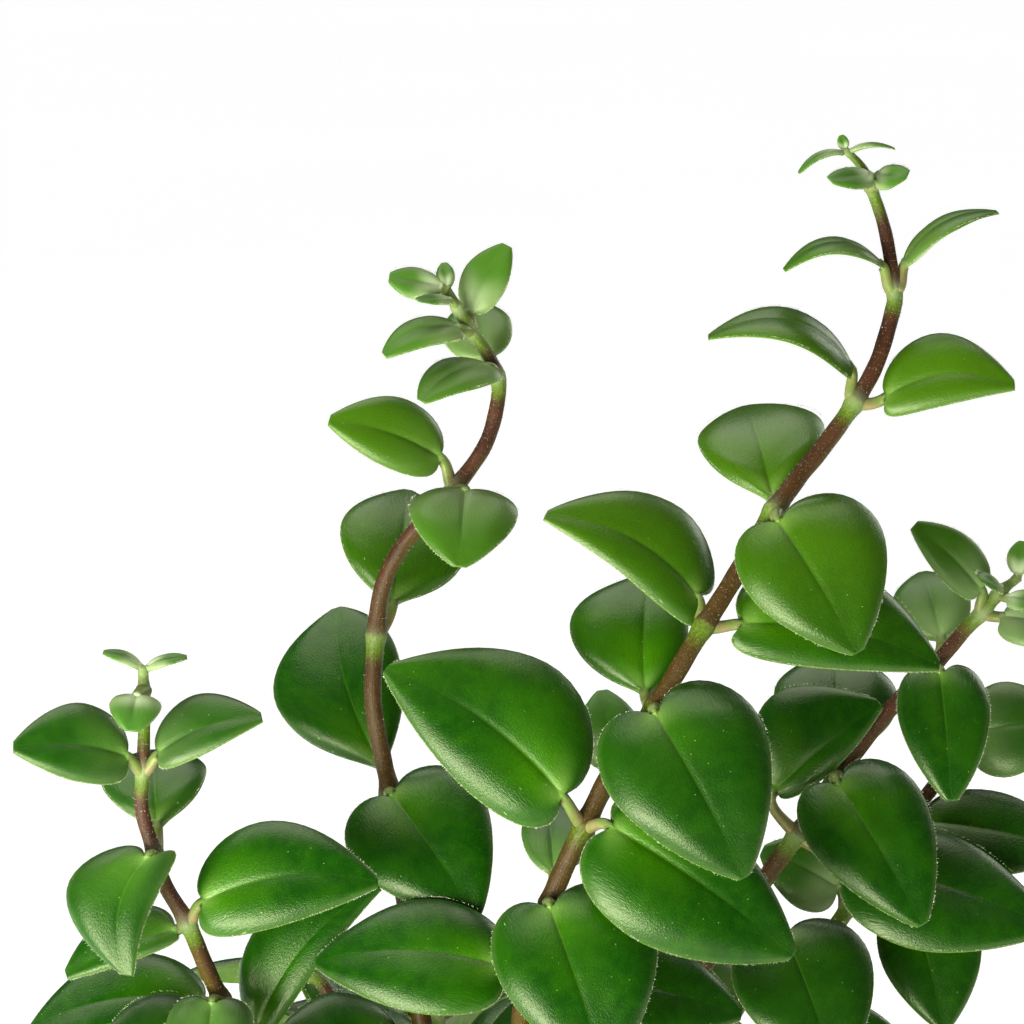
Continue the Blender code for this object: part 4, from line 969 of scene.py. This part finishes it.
class Graph:
    """Short ways to add shader nodes and link them, to a new material or to the world."""

    def __init__(self, owner):
        owner.use_nodes = True
        self.owner = owner
        self.tree = owner.node_tree
        self.tree.nodes.clear()

    def node(self, kind, inputs=None, **settings):
        made = self.tree.nodes.new(kind)
        for key, value in settings.items():
            setattr(made, key, value)
        for key, value in (inputs or {}).items():
            socket = made.inputs[key]
            if isinstance(value, bpy.types.NodeSocket):
                self.tree.links.new(value, socket)
            else:
                socket.default_value = value
        return made

    def maths(self, operation, a, b=0.0, clamp=False):
        return self.node("ShaderNodeMath", {0: a, 1: b}, operation=operation, use_clamp=clamp).outputs[0]

    def times(self, a, b):
        return self.maths("MULTIPLY", a, b)

    def plus(self, a, b):
        return self.maths("ADD", a, b)

    def size(self, value):
        return self.maths("ABSOLUTE", value)

    def ramp(self, value, low, high, start=0.0, end=1.0):
        """Goes smoothly from start to end while the value goes from low to high."""
        inputs = {0: value, 1: low, 2: high, 3: start, 4: end}
        return self.node("ShaderNodeMapRange", inputs, interpolation_type="SMOOTHSTEP").outputs[0]

    def mix(self, share, a, b):
        made = self.node("ShaderNodeMix", data_type="RGBA")
        for socket, value in ((0, share), (6, a), (7, b)):
            if isinstance(value, bpy.types.NodeSocket):
                self.tree.links.new(value, made.inputs[socket])
            else:
                made.inputs[socket].default_value = (*value, 1)
        return made.outputs[2]

    def noise(self, where, scale, detail=2.0, roughness=0.5):
        inputs = {"Vector": where, "Scale": scale, "Detail": detail, "Roughness": roughness}
        return self.node("ShaderNodeTexNoise", inputs).outputs[0]

    def cells(self, where, scale):
        return self.node("ShaderNodeTexVoronoi", {"Vector": where, "Scale": scale}).outputs["Distance"]

    def stretched(self, where, scale):
        return self.node("ShaderNodeVectorMath", {0: where, 1: scale}, operation="MULTIPLY").outputs[0]

    def parts(self, where):
        return self.node("ShaderNodeSeparateXYZ", {0: where}).outputs

    def where(self):
        """The place in the plant's own frame, in metres."""
        return self.node("ShaderNodeTexCoord").outputs["Object"]

    def attribute(self, name):
        made = self.node("ShaderNodeAttribute", attribute_name=name, attribute_type="GEOMETRY")
        return made.outputs["Vector"]

    def bump(self, height, distance, strength=1.0, normal=None):
        inputs = {"Height": height, "Distance": distance, "Strength": strength}
        if normal is not None:
            inputs["Normal"] = normal
        return self.node("ShaderNodeBump", inputs).outputs[0]

    def surface(self, colour, roughness, normal, **fixed):
        """Ends a material in one Principled shader and returns it."""
        inputs = {"Base Color": colour, "Roughness": roughness, "Normal": normal}
        shader = self.node("ShaderNodeBsdfPrincipled", inputs)
        for label, value in fixed.items():
            shader.inputs[label.replace("_", " ")].default_value = value
        self.output(shader, "ShaderNodeOutputMaterial")
        return self.owner

    def output(self, shader, kind):
        self.tree.links.new(shader.outputs[0], self.node(kind).inputs[0])


def new_graph(name):
    return Graph(bpy.data.materials.new(name))


def srgb(red, green, blue):
    """A colour in the picture's 0 to 255 values as a linear one."""
    def linear(value):
        value /= 255
        return value / 12.92 if value <= 0.04045 else ((value + 0.055) / 1.055) ** 2.4

    return linear(red), linear(green), linear(blue)


def leaf_looks():
    """Fleshy waxy green: a painted glow of light shining through the blade, yellow-green at its base, a pale
    margin, pale specks that are partly painted glints, a paler base that is partly a painted highlight, paler
    beneath.
    """
    g = new_graph("leaf_skin")
    place = g.attribute("place")
    across_mm, _, seed = g.parts(place)
    across, along, margin_mm = g.parts(g.attribute("shape"))
    under, youth, _ = g.parts(g.attribute("kind"))
    height = g.parts(g.where())[2]
    off_centre = g.size(across)
    broad = g.noise(place, 0.11, 2)
    cloud = g.noise(place, 0.4, 3, 0.6)
    fine = g.noise(place, 2.6, 2, 0.6)
    leaf_tint = g.node("ShaderNodeTexWhiteNoise", {"W": seed}, noise_dimensions="1D").outputs["Value"]
    # glow is painted light shining through the blade: strongest at the base near the midrib, weaker on some
    # leaves, made patchy by random tone.
    glow = g.times(g.ramp(along, 0.02, 0.6, 1, 0), g.ramp(off_centre, 0.05, 0.75, 1, 0.2))
    glow = g.times(glow, g.ramp(leaf_tint, 0, 1, 1, 0.4))
    glow = g.maths("ADD", glow, g.maths("SUBTRACT", broad, 0.5), clamp=True)
    # Pale specks across the blade: partly the leaf's own specks, partly painted glints.
    dots = g.ramp(g.cells(place, 0.42), 0.03, 0.062, 0.6, 0)
    # A paler whitish base by the petiole: partly the leaf's own paler colour, partly a painted highlight.
    pale_base_and_painted_highlight = g.times(g.ramp(along, 0, 0.14, 0.5, 0), g.ramp(off_centre, 0.1, 0.7, 1, 0))
    centre_line = g.times(g.ramp(g.size(across_mm), 0.06, 0.26, 0.16, 0), g.ramp(along, 0.25, 0.8, 1, 0.25))
    young = g.mix(g.ramp(along, 0, 0.6), srgb(140, 164, 100), srgb(70, 118, 34))
    whitish = g.times(g.ramp(along, 0.02, 0.5, 0.85, 0), g.ramp(off_centre, 0.1, 0.8, 1, 0.15))
    pale = g.mix(g.ramp(cloud, 0.3, 0.8), srgb(92, 128, 48), srgb(116, 148, 72))
    stalk = g.mix(g.ramp(cloud, 0.35, 0.7), srgb(106, 126, 56), srgb(142, 122, 84))
    # Dark green, lifted to yellow-green where the painted glow of light through the blade falls.
    colour = g.mix(glow, srgb(10, 60, 0), srgb(56, 110, 0))
    for share, over in (
        (g.ramp(cloud, 0.35, 0.75, 0, 0.4), srgb(34, 90, 2)),
        (g.ramp(fine, 0.3, 0.8, 0, 0.3), srgb(12, 52, 1)),
        (g.ramp(leaf_tint, 0.4, 1, 0, 0.45), srgb(26, 62, 6)),
        (dots, srgb(150, 190, 110)),
        (g.ramp(height, 0.24, 0.3, 0, 0.5), srgb(78, 118, 6)),
        (pale_base_and_painted_highlight, srgb(132, 168, 76)),
        (centre_line, srgb(96, 142, 40)),
        (g.ramp(margin_mm, 0.03, 0.22, 0.6, 0), srgb(118, 146, 56)),
        (g.ramp(margin_mm, 0.3, 1.3, 0.22, 0), srgb(88, 118, 56)),
        (g.times(youth, 0.75), young),
        (g.times(whitish, g.times(youth, youth)), srgb(190, 206, 158)),
        (g.times(under, 0.9), pale),
        (g.ramp(along, -0.15, 0.02, 1, 0), stalk),
    ):
        colour = g.mix(share, colour, over)
    roughness = g.plus(g.times(fine, 0.16), 0.21)
    roughness = g.plus(roughness, g.times(under, 0.18))
    roughness = g.plus(roughness, g.times(youth, 0.14))
    fibres = g.noise(g.stretched(place, (3.0, 1.6, 1)), 1, 2, 0.65)
    return g.surface(colour, roughness, g.bump(fibres, 0.12 * MM, 0.7),
                     Specular_IOR_Level=0.42, Specular_Tint=(0.92, 1, 0.58, 1))


def hair_looks():
    g = new_graph("pale_hair")
    tint = g.noise(g.where(), 900, 2)
    colour = g.mix(tint, srgb(206, 214, 168), srgb(238, 240, 214))
    normal = g.bump(tint, 0.01 * MM)
    return g.surface(colour, g.ramp(tint, 0.2, 0.8, 0.4, 0.6), normal, Specular_IOR_Level=0.4)


def stem_looks():
    """Mauve-brown skin with pale speckles, green at the tip and just below the leaf joints."""
    g = new_graph("stem_skin")
    place = g.attribute("place")
    _, youth, green = g.parts(g.attribute("kind"))
    downy = g.parts(g.attribute("shape"))[0]
    cloud = g.noise(g.where(), 160, 2, 0.6)
    fine = g.noise(place, 2.4, 2, 0.6)
    facing_up = g.parts(g.node("ShaderNodeNewGeometry").outputs["Normal"])[2]
    dots = g.ramp(g.cells(g.stretched(place, (1, 1, 0.7)), 2.1), 0.08, 0.26, 0.55, 0)
    ragged = g.plus(green, g.times(g.maths("SUBTRACT", fine, 0.5), 0.5))
    old = g.mix(g.ramp(fine, 0.3, 0.7), srgb(54, 39, 10), srgb(72, 55, 18))
    leafy = g.mix(g.ramp(fine, 0.3, 0.8), srgb(66, 100, 8), srgb(106, 126, 36))
    colour = g.mix(g.ramp(cloud, 0.3, 0.7), srgb(52, 27, 17), srgb(74, 43, 27))
    for share, over in (
        (g.maths("SUBTRACT", 1.0, youth), old),
        (g.ramp(facing_up, -0.75, 0.15, 0.75, 0), srgb(82, 74, 16)),
        (dots, srgb(160, 128, 100)),
        (g.ramp(ragged, 0.1, 0.9), leafy),
        (g.times(downy, 0.45), srgb(168, 182, 132)),
    ):
        colour = g.mix(share, colour, over)
    ridges = g.noise(g.stretched(place, (2.6, 2.6, 0.5)), 1, 2, 0.6)
    normal = g.bump(g.plus(ridges, g.times(dots, 0.8)), 0.16 * MM, 0.7)
    return g.surface(colour, g.ramp(fine, 0.2, 0.8, 0.4, 0.55), normal,
                     Specular_IOR_Level=0.24, Specular_Tint=(1, 0.9, 0.7, 1))


def clay_looks():
    """Fired clay: fine grain, faint turning lines, pale bloom low down and below the rim."""
    g = new_graph("fired_clay")
    where = g.where()
    height = g.parts(where)[2]
    cloud = g.noise(where, 26, 5, 0.6)
    grain = g.noise(where, 900, 4, 0.7)
    turning = g.noise(g.stretched(where, (5, 5, 520)), 1, 3, 0.6)
    colour = g.mix(g.ramp(cloud, 0.3, 0.7), srgb(122, 60, 34), srgb(142, 76, 46))
    colour = g.mix(g.ramp(turning, 0.35, 0.75, 0, 0.3), colour, srgb(114, 54, 32))
    colour = g.mix(g.ramp(grain, 0.55, 0.8, 0, 0.35), colour, srgb(178, 118, 86))
    low = g.ramp(height, 0.002, 0.05, 0.2, 0)
    band = g.times(g.ramp(height, 0.086, 0.1, 0, 0.16), g.ramp(height, 0.1, 0.112, 1, 0))
    patchy = g.ramp(g.noise(where, 60, 5, 0.65), 0.42, 0.68)
    bloom = g.maths("MULTIPLY", g.plus(low, band), patchy, clamp=True)
    colour = g.mix(bloom, colour, srgb(184, 154, 130))
    pits = g.ramp(g.cells(where, 420), 0.02, 0.16)
    normal = g.bump(turning, 0.25 * MM, 0.5)
    normal = g.bump(g.plus(grain, g.times(pits, 0.5)), 0.18 * MM, 0.7, normal)
    return g.surface(colour, g.ramp(grain, 0.2, 0.8, 0.72, 0.92), normal, Specular_IOR_Level=0.3)


def soil_looks():
    """Dark potting soil: peat, brown fibres and lighter crumbs."""
    g = new_graph("potting_soil")
    where = g.where()
    cloud = g.noise(where, 90, 5, 0.65)
    grain = g.noise(where, 700, 5, 0.7)
    flecks = g.ramp(g.cells(where, 260), 0.05, 0.13, 0.5, 0)
    colour = g.mix(g.ramp(cloud, 0.35, 0.7), srgb(46, 34, 26), srgb(82, 60, 44))
    colour = g.mix(g.ramp(grain, 0.5, 0.75, 0, 0.6), colour, srgb(122, 92, 66))
    colour = g.mix(flecks, colour, srgb(166, 146, 116))
    normal = g.bump(grain, 0.4 * MM, 0.9, g.bump(cloud, 0.8 * MM, 0.7))
    return g.surface(colour, g.ramp(grain, 0.2, 0.8, 0.8, 0.98), normal, Specular_IOR_Level=0.2)


def crumb_looks():
    """Bits of bark and pale mineral grains lying in the soil."""
    g = new_graph("bark_and_grains")
    pale_grain = g.parts(g.attribute("kind"))[0]
    grain = g.noise(g.where(), 500, 4, 0.7)
    bark = g.mix(g.ramp(grain, 0.3, 0.7), srgb(74, 50, 34), srgb(124, 86, 58))
    pale = g.mix(g.ramp(grain, 0.3, 0.7), srgb(206, 200, 186), srgb(238, 234, 224))
    return g.surface(g.mix(pale_grain, bark, pale), g.ramp(grain, 0.2, 0.8, 0.75, 0.95),
                     g.bump(grain, 0.25 * MM, 0.8), Specular_IOR_Level=0.25)


# Pot and soil

def arc(centre_r, centre_z, radius, start, end):
    """Points round part of a circle in the pot's profile; angles in degrees."""
    points = []
    for i in range(ARC_STEPS + 1):
        angle = math.radians(start + (end - start) * i / ARC_STEPS)
        points.append((centre_r + radius * math.cos(angle), centre_z + radius * math.sin(angle)))
    return points


def outer_radius(z):
    return FOOT_RADIUS + (BODY_TOP_RADIUS - FOOT_RADIUS) * z / BAND_FOOT


def pot_profile():
    """Half of the pot's section as (radius, height), from the underside round the outside and in."""
    lip = RIM_RADIUS - WALL
    points = [(0, 0), (FLAT_RADIUS, 0), (2 * FLAT_RADIUS, 0)]
    points += arc(FOOT_RADIUS - FOOT_ROUNDING, FOOT_ROUNDING, FOOT_ROUNDING, -90, 0)
    for i in range(1, WALL_STEPS):
        z = BAND_FOOT * i / WALL_STEPS
        points.append((outer_radius(z), z))
    points.append((BODY_TOP_RADIUS - BAND_TUCK, BAND_FOOT - BAND_STEP))
    points.append((BODY_TOP_RADIUS + BAND_STEP, BAND_FOOT))
    points += arc(RIM_RADIUS - BAND_ROUNDING, BAND_FOOT + BAND_ROUNDING, BAND_ROUNDING, -90, 0)
    points += [(RIM_RADIUS, BAND_FOOT + RIM_BAND * i / BAND_STEPS) for i in range(1, BAND_STEPS)]
    points += arc(RIM_RADIUS - RIM_ROUNDING, POT_HEIGHT - RIM_ROUNDING, RIM_ROUNDING, 0, 90)
    points += arc(lip + LIP_SHELF, POT_HEIGHT - LIP_ROUNDING, LIP_ROUNDING, 90, 170)
    points += [(lip - inset, z) for inset, z in INNER_FALL]
    points.append((BODY_TOP_RADIUS - WALL, INNER_SHOULDER))
    points.append((outer_radius(FLOOR + FLOOR_ROUNDING) - WALL, FLOOR + FLOOR_ROUNDING))
    points += [(outer_radius(FLOOR) - WALL - FLOOR_FILLET, FLOOR), (FLAT_RADIUS, FLOOR), (0, FLOOR)]
    return points


def ring_points(radius, z, sides):
    """Points round a level circle about the pot's axis."""
    angles = [2 * math.pi * k / sides for k in range(sides)]
    return [(radius * math.cos(angle), radius * math.sin(angle), z) for angle in angles]


def ring_faces(rings, sides, end=None):
    """Faces from point 0 over rings of points, and on to an end point where there is one."""
    faces = []
    for k in range(sides):
        j = (k + 1) % sides
        faces.append((0, 1 + j, 1 + k))
        for ring in range(rings - 1):
            low = 1 + ring * sides
            faces.append((low + k, low + j, low + sides + j, low + sides + k))
        if end:
            low = 1 + (rings - 1) * sides
            faces.append((low + k, low + j, end))
    return faces


def turned(profile, sides, name):
    """A closed surface of revolution whose profile starts and ends on the axis."""
    points = [(0, 0, profile[0][1])]
    for radius, z in profile[1:-1]:
        points += ring_points(radius, z, sides)
    points.append((0, 0, profile[-1][1]))
    mesh = bpy.data.meshes.new(name)
    mesh.from_pydata(points, [], ring_faces(len(profile) - 2, sides, len(points) - 1))
    return new_object(name, mesh)


def make_pot(clay):
    """The turned pot with rounded edges, bored for its drainage holes."""
    made = turned(pot_profile(), POT_SIDES, "pot_looks")
    made.data.materials.append(clay)
    cutters = []
    for i in range(DRAINS):
        angle = FIRST_DRAIN + 2 * math.pi * i / DRAINS
        bpy.ops.mesh.primitive_cylinder_add(
            vertices=DRAIN_SIDES, radius=DRAIN_RADIUS, depth=3 * FLOOR,
            location=(DRAIN_OFFSET * math.cos(angle), DRAIN_OFFSET * math.sin(angle), FLOOR / 2),
        )
        cutter = bpy.context.object
        cutter.data.materials.append(clay)
        cut = made.modifiers.new("drain", "BOOLEAN")
        cut.operation = "DIFFERENCE"
        cut.object = cutter
        cutters.append(cutter)
    bored = bpy.data.meshes.new_from_object(made.evaluated_get(bpy.context.evaluated_depsgraph_get()))
    made.modifiers.clear()
    made.data = bored
    for cutter in cutters:
        bpy.data.objects.remove(cutter)
    bored.shade_smooth()
    sharpen(bored, CRISP_TURN)
    settle(made, "pot")


def sharpen(mesh, turn):
    """Keeps edges that turn by more than this angle crisp."""
    shape = bmesh.new()
    shape.from_mesh(mesh)
    for edge in shape.edges:
        edge.smooth = len(edge.link_faces) == 2 and edge.calc_face_angle() < turn
    shape.to_mesh(mesh)
    shape.free()


def soil_radius(z):
    """The inner radius of the pot at a height, less the soil's gap."""
    wall = outer_radius(min(z, BAND_FOOT)) - WALL
    if z > INNER_SHOULDER:
        wall = BODY_TOP_RADIUS - WALL + (z - INNER_SHOULDER) * INNER_FLARE
    return wall - SOIL_GAP


def soil_height(x, y):
    """How far the rough soil surface lies from level."""
    spot = Vector((x, y, 0))
    lumps = noise.fractal(spot * SOIL_LUMPS_PER_METRE, 1.0, 2.1, SOIL_LUMP_OCTAVES)
    swells = noise.noise(spot * SOIL_SWELLS_PER_METRE)
    return (lumps * SOIL_LUMP_HEIGHT + swells * SOIL_SWELL_HEIGHT) * SOIL_ROUGH


def make_soil(soil, crumb):
    """Rough soil surface over a plain root ball, with bark bits and pale grains."""
    top_radius = soil_radius(SOIL_TOP)
    points = [(0, 0, SOIL_TOP + soil_height(0, 0))]
    for ring in range(1, SOIL_RINGS + 1):
        drop = SOIL_EDGE_DROP * (ring / SOIL_RINGS) ** SOIL_EDGE_SHARPNESS
        for x, y, z in ring_points(top_radius * ring / SOIL_RINGS, SOIL_TOP, SOIL_SIDES):
            points.append((x, y, z + soil_height(x, y) - drop))
    for z in ROOT_BALL_HEIGHTS:
        points += ring_points(soil_radius(z) - (ROOT_BALL_ROUNDING if z < FLOOR + MM else 0), z, SOIL_SIDES)
    rings = SOIL_RINGS + len(ROOT_BALL_HEIGHTS)
    faces = [face[:1] + face[:0:-1] for face in ring_faces(rings, SOIL_SIDES)]
    last = 1 + (rings - 1) * SOIL_SIDES
    faces.append(tuple(last + k for k in reversed(range(SOIL_SIDES))))
    piece = Piece([soil, crumb])
    flat = np.zeros((len(points), 3))
    piece.add_points(points, flat, flat, flat)
    piece.add_faces(faces, soil)
    add_crumbs(piece, crumb, top_radius - CRUMB_EDGE_GAP)
    piece.make("soil_looks", "soil")


def add_crumbs(piece, crumb, reach):
    """Angular bits half sunk into the soil's surface."""
    chance = random.Random(SEED)
    shape = bmesh.new()
    bmesh.ops.create_icosphere(shape, subdivisions=1, radius=1)
    corners = np.array([corner.co[:] for corner in shape.verts])
    triangles = [tuple(corner.index for corner in face.verts) for face in shape.faces]
    shape.free()
    for _ in range(CRUMBS):
        r = reach * math.sqrt(chance.random())
        angle = chance.uniform(0, 2 * math.pi)
        x, y = r * math.cos(angle), r * math.sin(angle)
        pale = chance.random() < PALE_CRUMBS
        size = chance.uniform(*(PALE_CRUMB_MM if pale else BARK_CRUMB_MM)) * MM
        stretch = np.array([chance.uniform(*GRAIN_SIDES) for _ in range(3)])
        if not pale:
            stretch = np.array((1, chance.uniform(*BARK_WIDTH), chance.uniform(*BARK_THICKNESS)))
        knobbly = np.array([chance.uniform(*CRUMB_KNOBS) for _ in corners])[:, None]
        turn, tilt = chance.uniform(0, CRUMB_TURN), chance.uniform(-CRUMB_TILT, CRUMB_TILT)
        along, aside = math.cos(turn), math.sin(turn)
        spin = np.array(((along, -aside, 0), (aside, along, 0), (0, 0, 1)))
        along, aside = math.cos(tilt), math.sin(tilt)
        lean = np.array(((1, 0, 0), (0, along, -aside), (0, aside, along)))
        rough = corners * knobbly * stretch * size @ lean.T @ spin.T
        centre = np.array((x, y, SOIL_TOP + soil_height(x, y) + CRUMB_LIFT * size))
        values = np.tile((float(pale), 0, 0), (len(rough), 1))
        first = piece.add_points(rough + centre, values, values, values)
        piece.add_faces([tuple(first + i for i in face) for face in triangles], crumb)


# Stage

def plain_looks(name, scale, dark, light, **fixed):
    """A plain, hardly mottled material for the floor and the flag."""
    g = new_graph(name)
    tint = g.noise(g.where(), scale, 2)
    colour = g.mix(tint, (dark, dark, dark), (light, light, light))
    return g.surface(colour, g.ramp(tint, 0, 1, 0.85, 0.95), g.bump(tint, 0.1 * MM), **fixed)


def add_floor():
    bpy.ops.mesh.primitive_circle_add(vertices=128, radius=STUDIO_FLOOR_RADIUS, fill_type="NGON")
    floor = bpy.context.object
    floor.name = "floor"
    floor.data.materials.append(plain_looks(
        "white_floor", 3, 0.88, 0.9,
        Specular_IOR_Level=0.1, Emission_Color=(1, 1, 1, 1), Emission_Strength=FLOOR_GLOW,
    ))


def add_flag():
    """A dark flag all round at the plant's height: only gloss shows it, which keeps the greens deep."""
    bpy.ops.mesh.primitive_cylinder_add(
        vertices=96, radius=FLAG_RADIUS, depth=FLAG_DEPTH, end_fill_type="NOTHING",
        location=(0, 0, FLAG_HEIGHT),
    )
    flag = bpy.context.object
    flag.name = "dark_flag"
    flag.data.materials.append(plain_looks("dark_cloth", 40, 0.02, 0.03, Specular_IOR_Level=0))
    flag.visible_camera = flag.visible_diffuse = flag.visible_transmission = flag.visible_shadow = False


def aim(made, direction):
    made.rotation_euler = Vector(direction).to_track_quat("-Z", "Y").to_euler()


def add_light(name, place, width, height, power):
    """A softbox that faces the middle of the plant."""
    data = bpy.data.lights.new(name, "AREA")
    data.shape = "RECTANGLE"
    data.energy = power
    data.size = width
    data.size_y = height
    made = new_object(name, data)
    made.location = place
    made.visible_camera = False
    aim(made, Vector(VIEW_CENTRE) - Vector(place))


def add_overhead():
    """Broad soft light from above."""
    data = bpy.data.lights.new("overhead", "SUN")
    data.energy = OVERHEAD_POWER
    data.angle = OVERHEAD_SPREAD
    made = new_object("overhead", data)
    aim(made, OVERHEAD_DIRECTION)


def set_world():
    """Plain white low down, dimmer overhead, as a studio with a white floor and walls."""
    world = bpy.data.worlds.new("studio")
    bpy.context.scene.world = world
    g = Graph(world)
    height = g.parts(g.node("ShaderNodeTexCoord").outputs["Generated"])[2]
    strength = g.ramp(height, *WALLS_END, WALL_GLOW, CEILING_GLOW)
    glow = g.node("ShaderNodeBackground", {"Color": (1, 1, 1, 1), "Strength": strength})
    g.output(glow, "ShaderNodeOutputWorld")


def set_camera():
    """The camera at the photo's viewing angle, which frames the front view."""
    data = bpy.data.cameras.new("photo_view")
    data.sensor_width = SENSOR_WIDTH
    data.lens = SENSOR_WIDTH * VIEW_DISTANCE / (2 * VIEW_HALF * VIEW_STEP)
    made = new_object("photo_view", data)
    made.location = Vector(VIEW_CENTRE) - Vector(VIEW_BACK) * VIEW_DISTANCE
    made.rotation_euler = (math.pi / 2 - VIEW_TILT, 0, 0)
    bpy.context.scene.camera = made
    bpy.context.scene.view_settings.view_transform = "Standard"


looks = {"leaf": leaf_looks(), "hair": hair_looks(), "stem": stem_looks()}
make_pot(clay_looks())
make_soil(soil_looks(), crumb_looks())
for shoot in (*MAIN_SHOOTS, *GROWN_SHOOTS):
    make_main_shoot(shoot, looks)
for side_shoot in SIDE_SHOOTS:
    make_side_shoot(*side_shoot, looks)
add_floor()
for softbox in SOFTBOXES:
    add_light(*softbox)
add_overhead()
add_flag()
set_world()
set_camera()
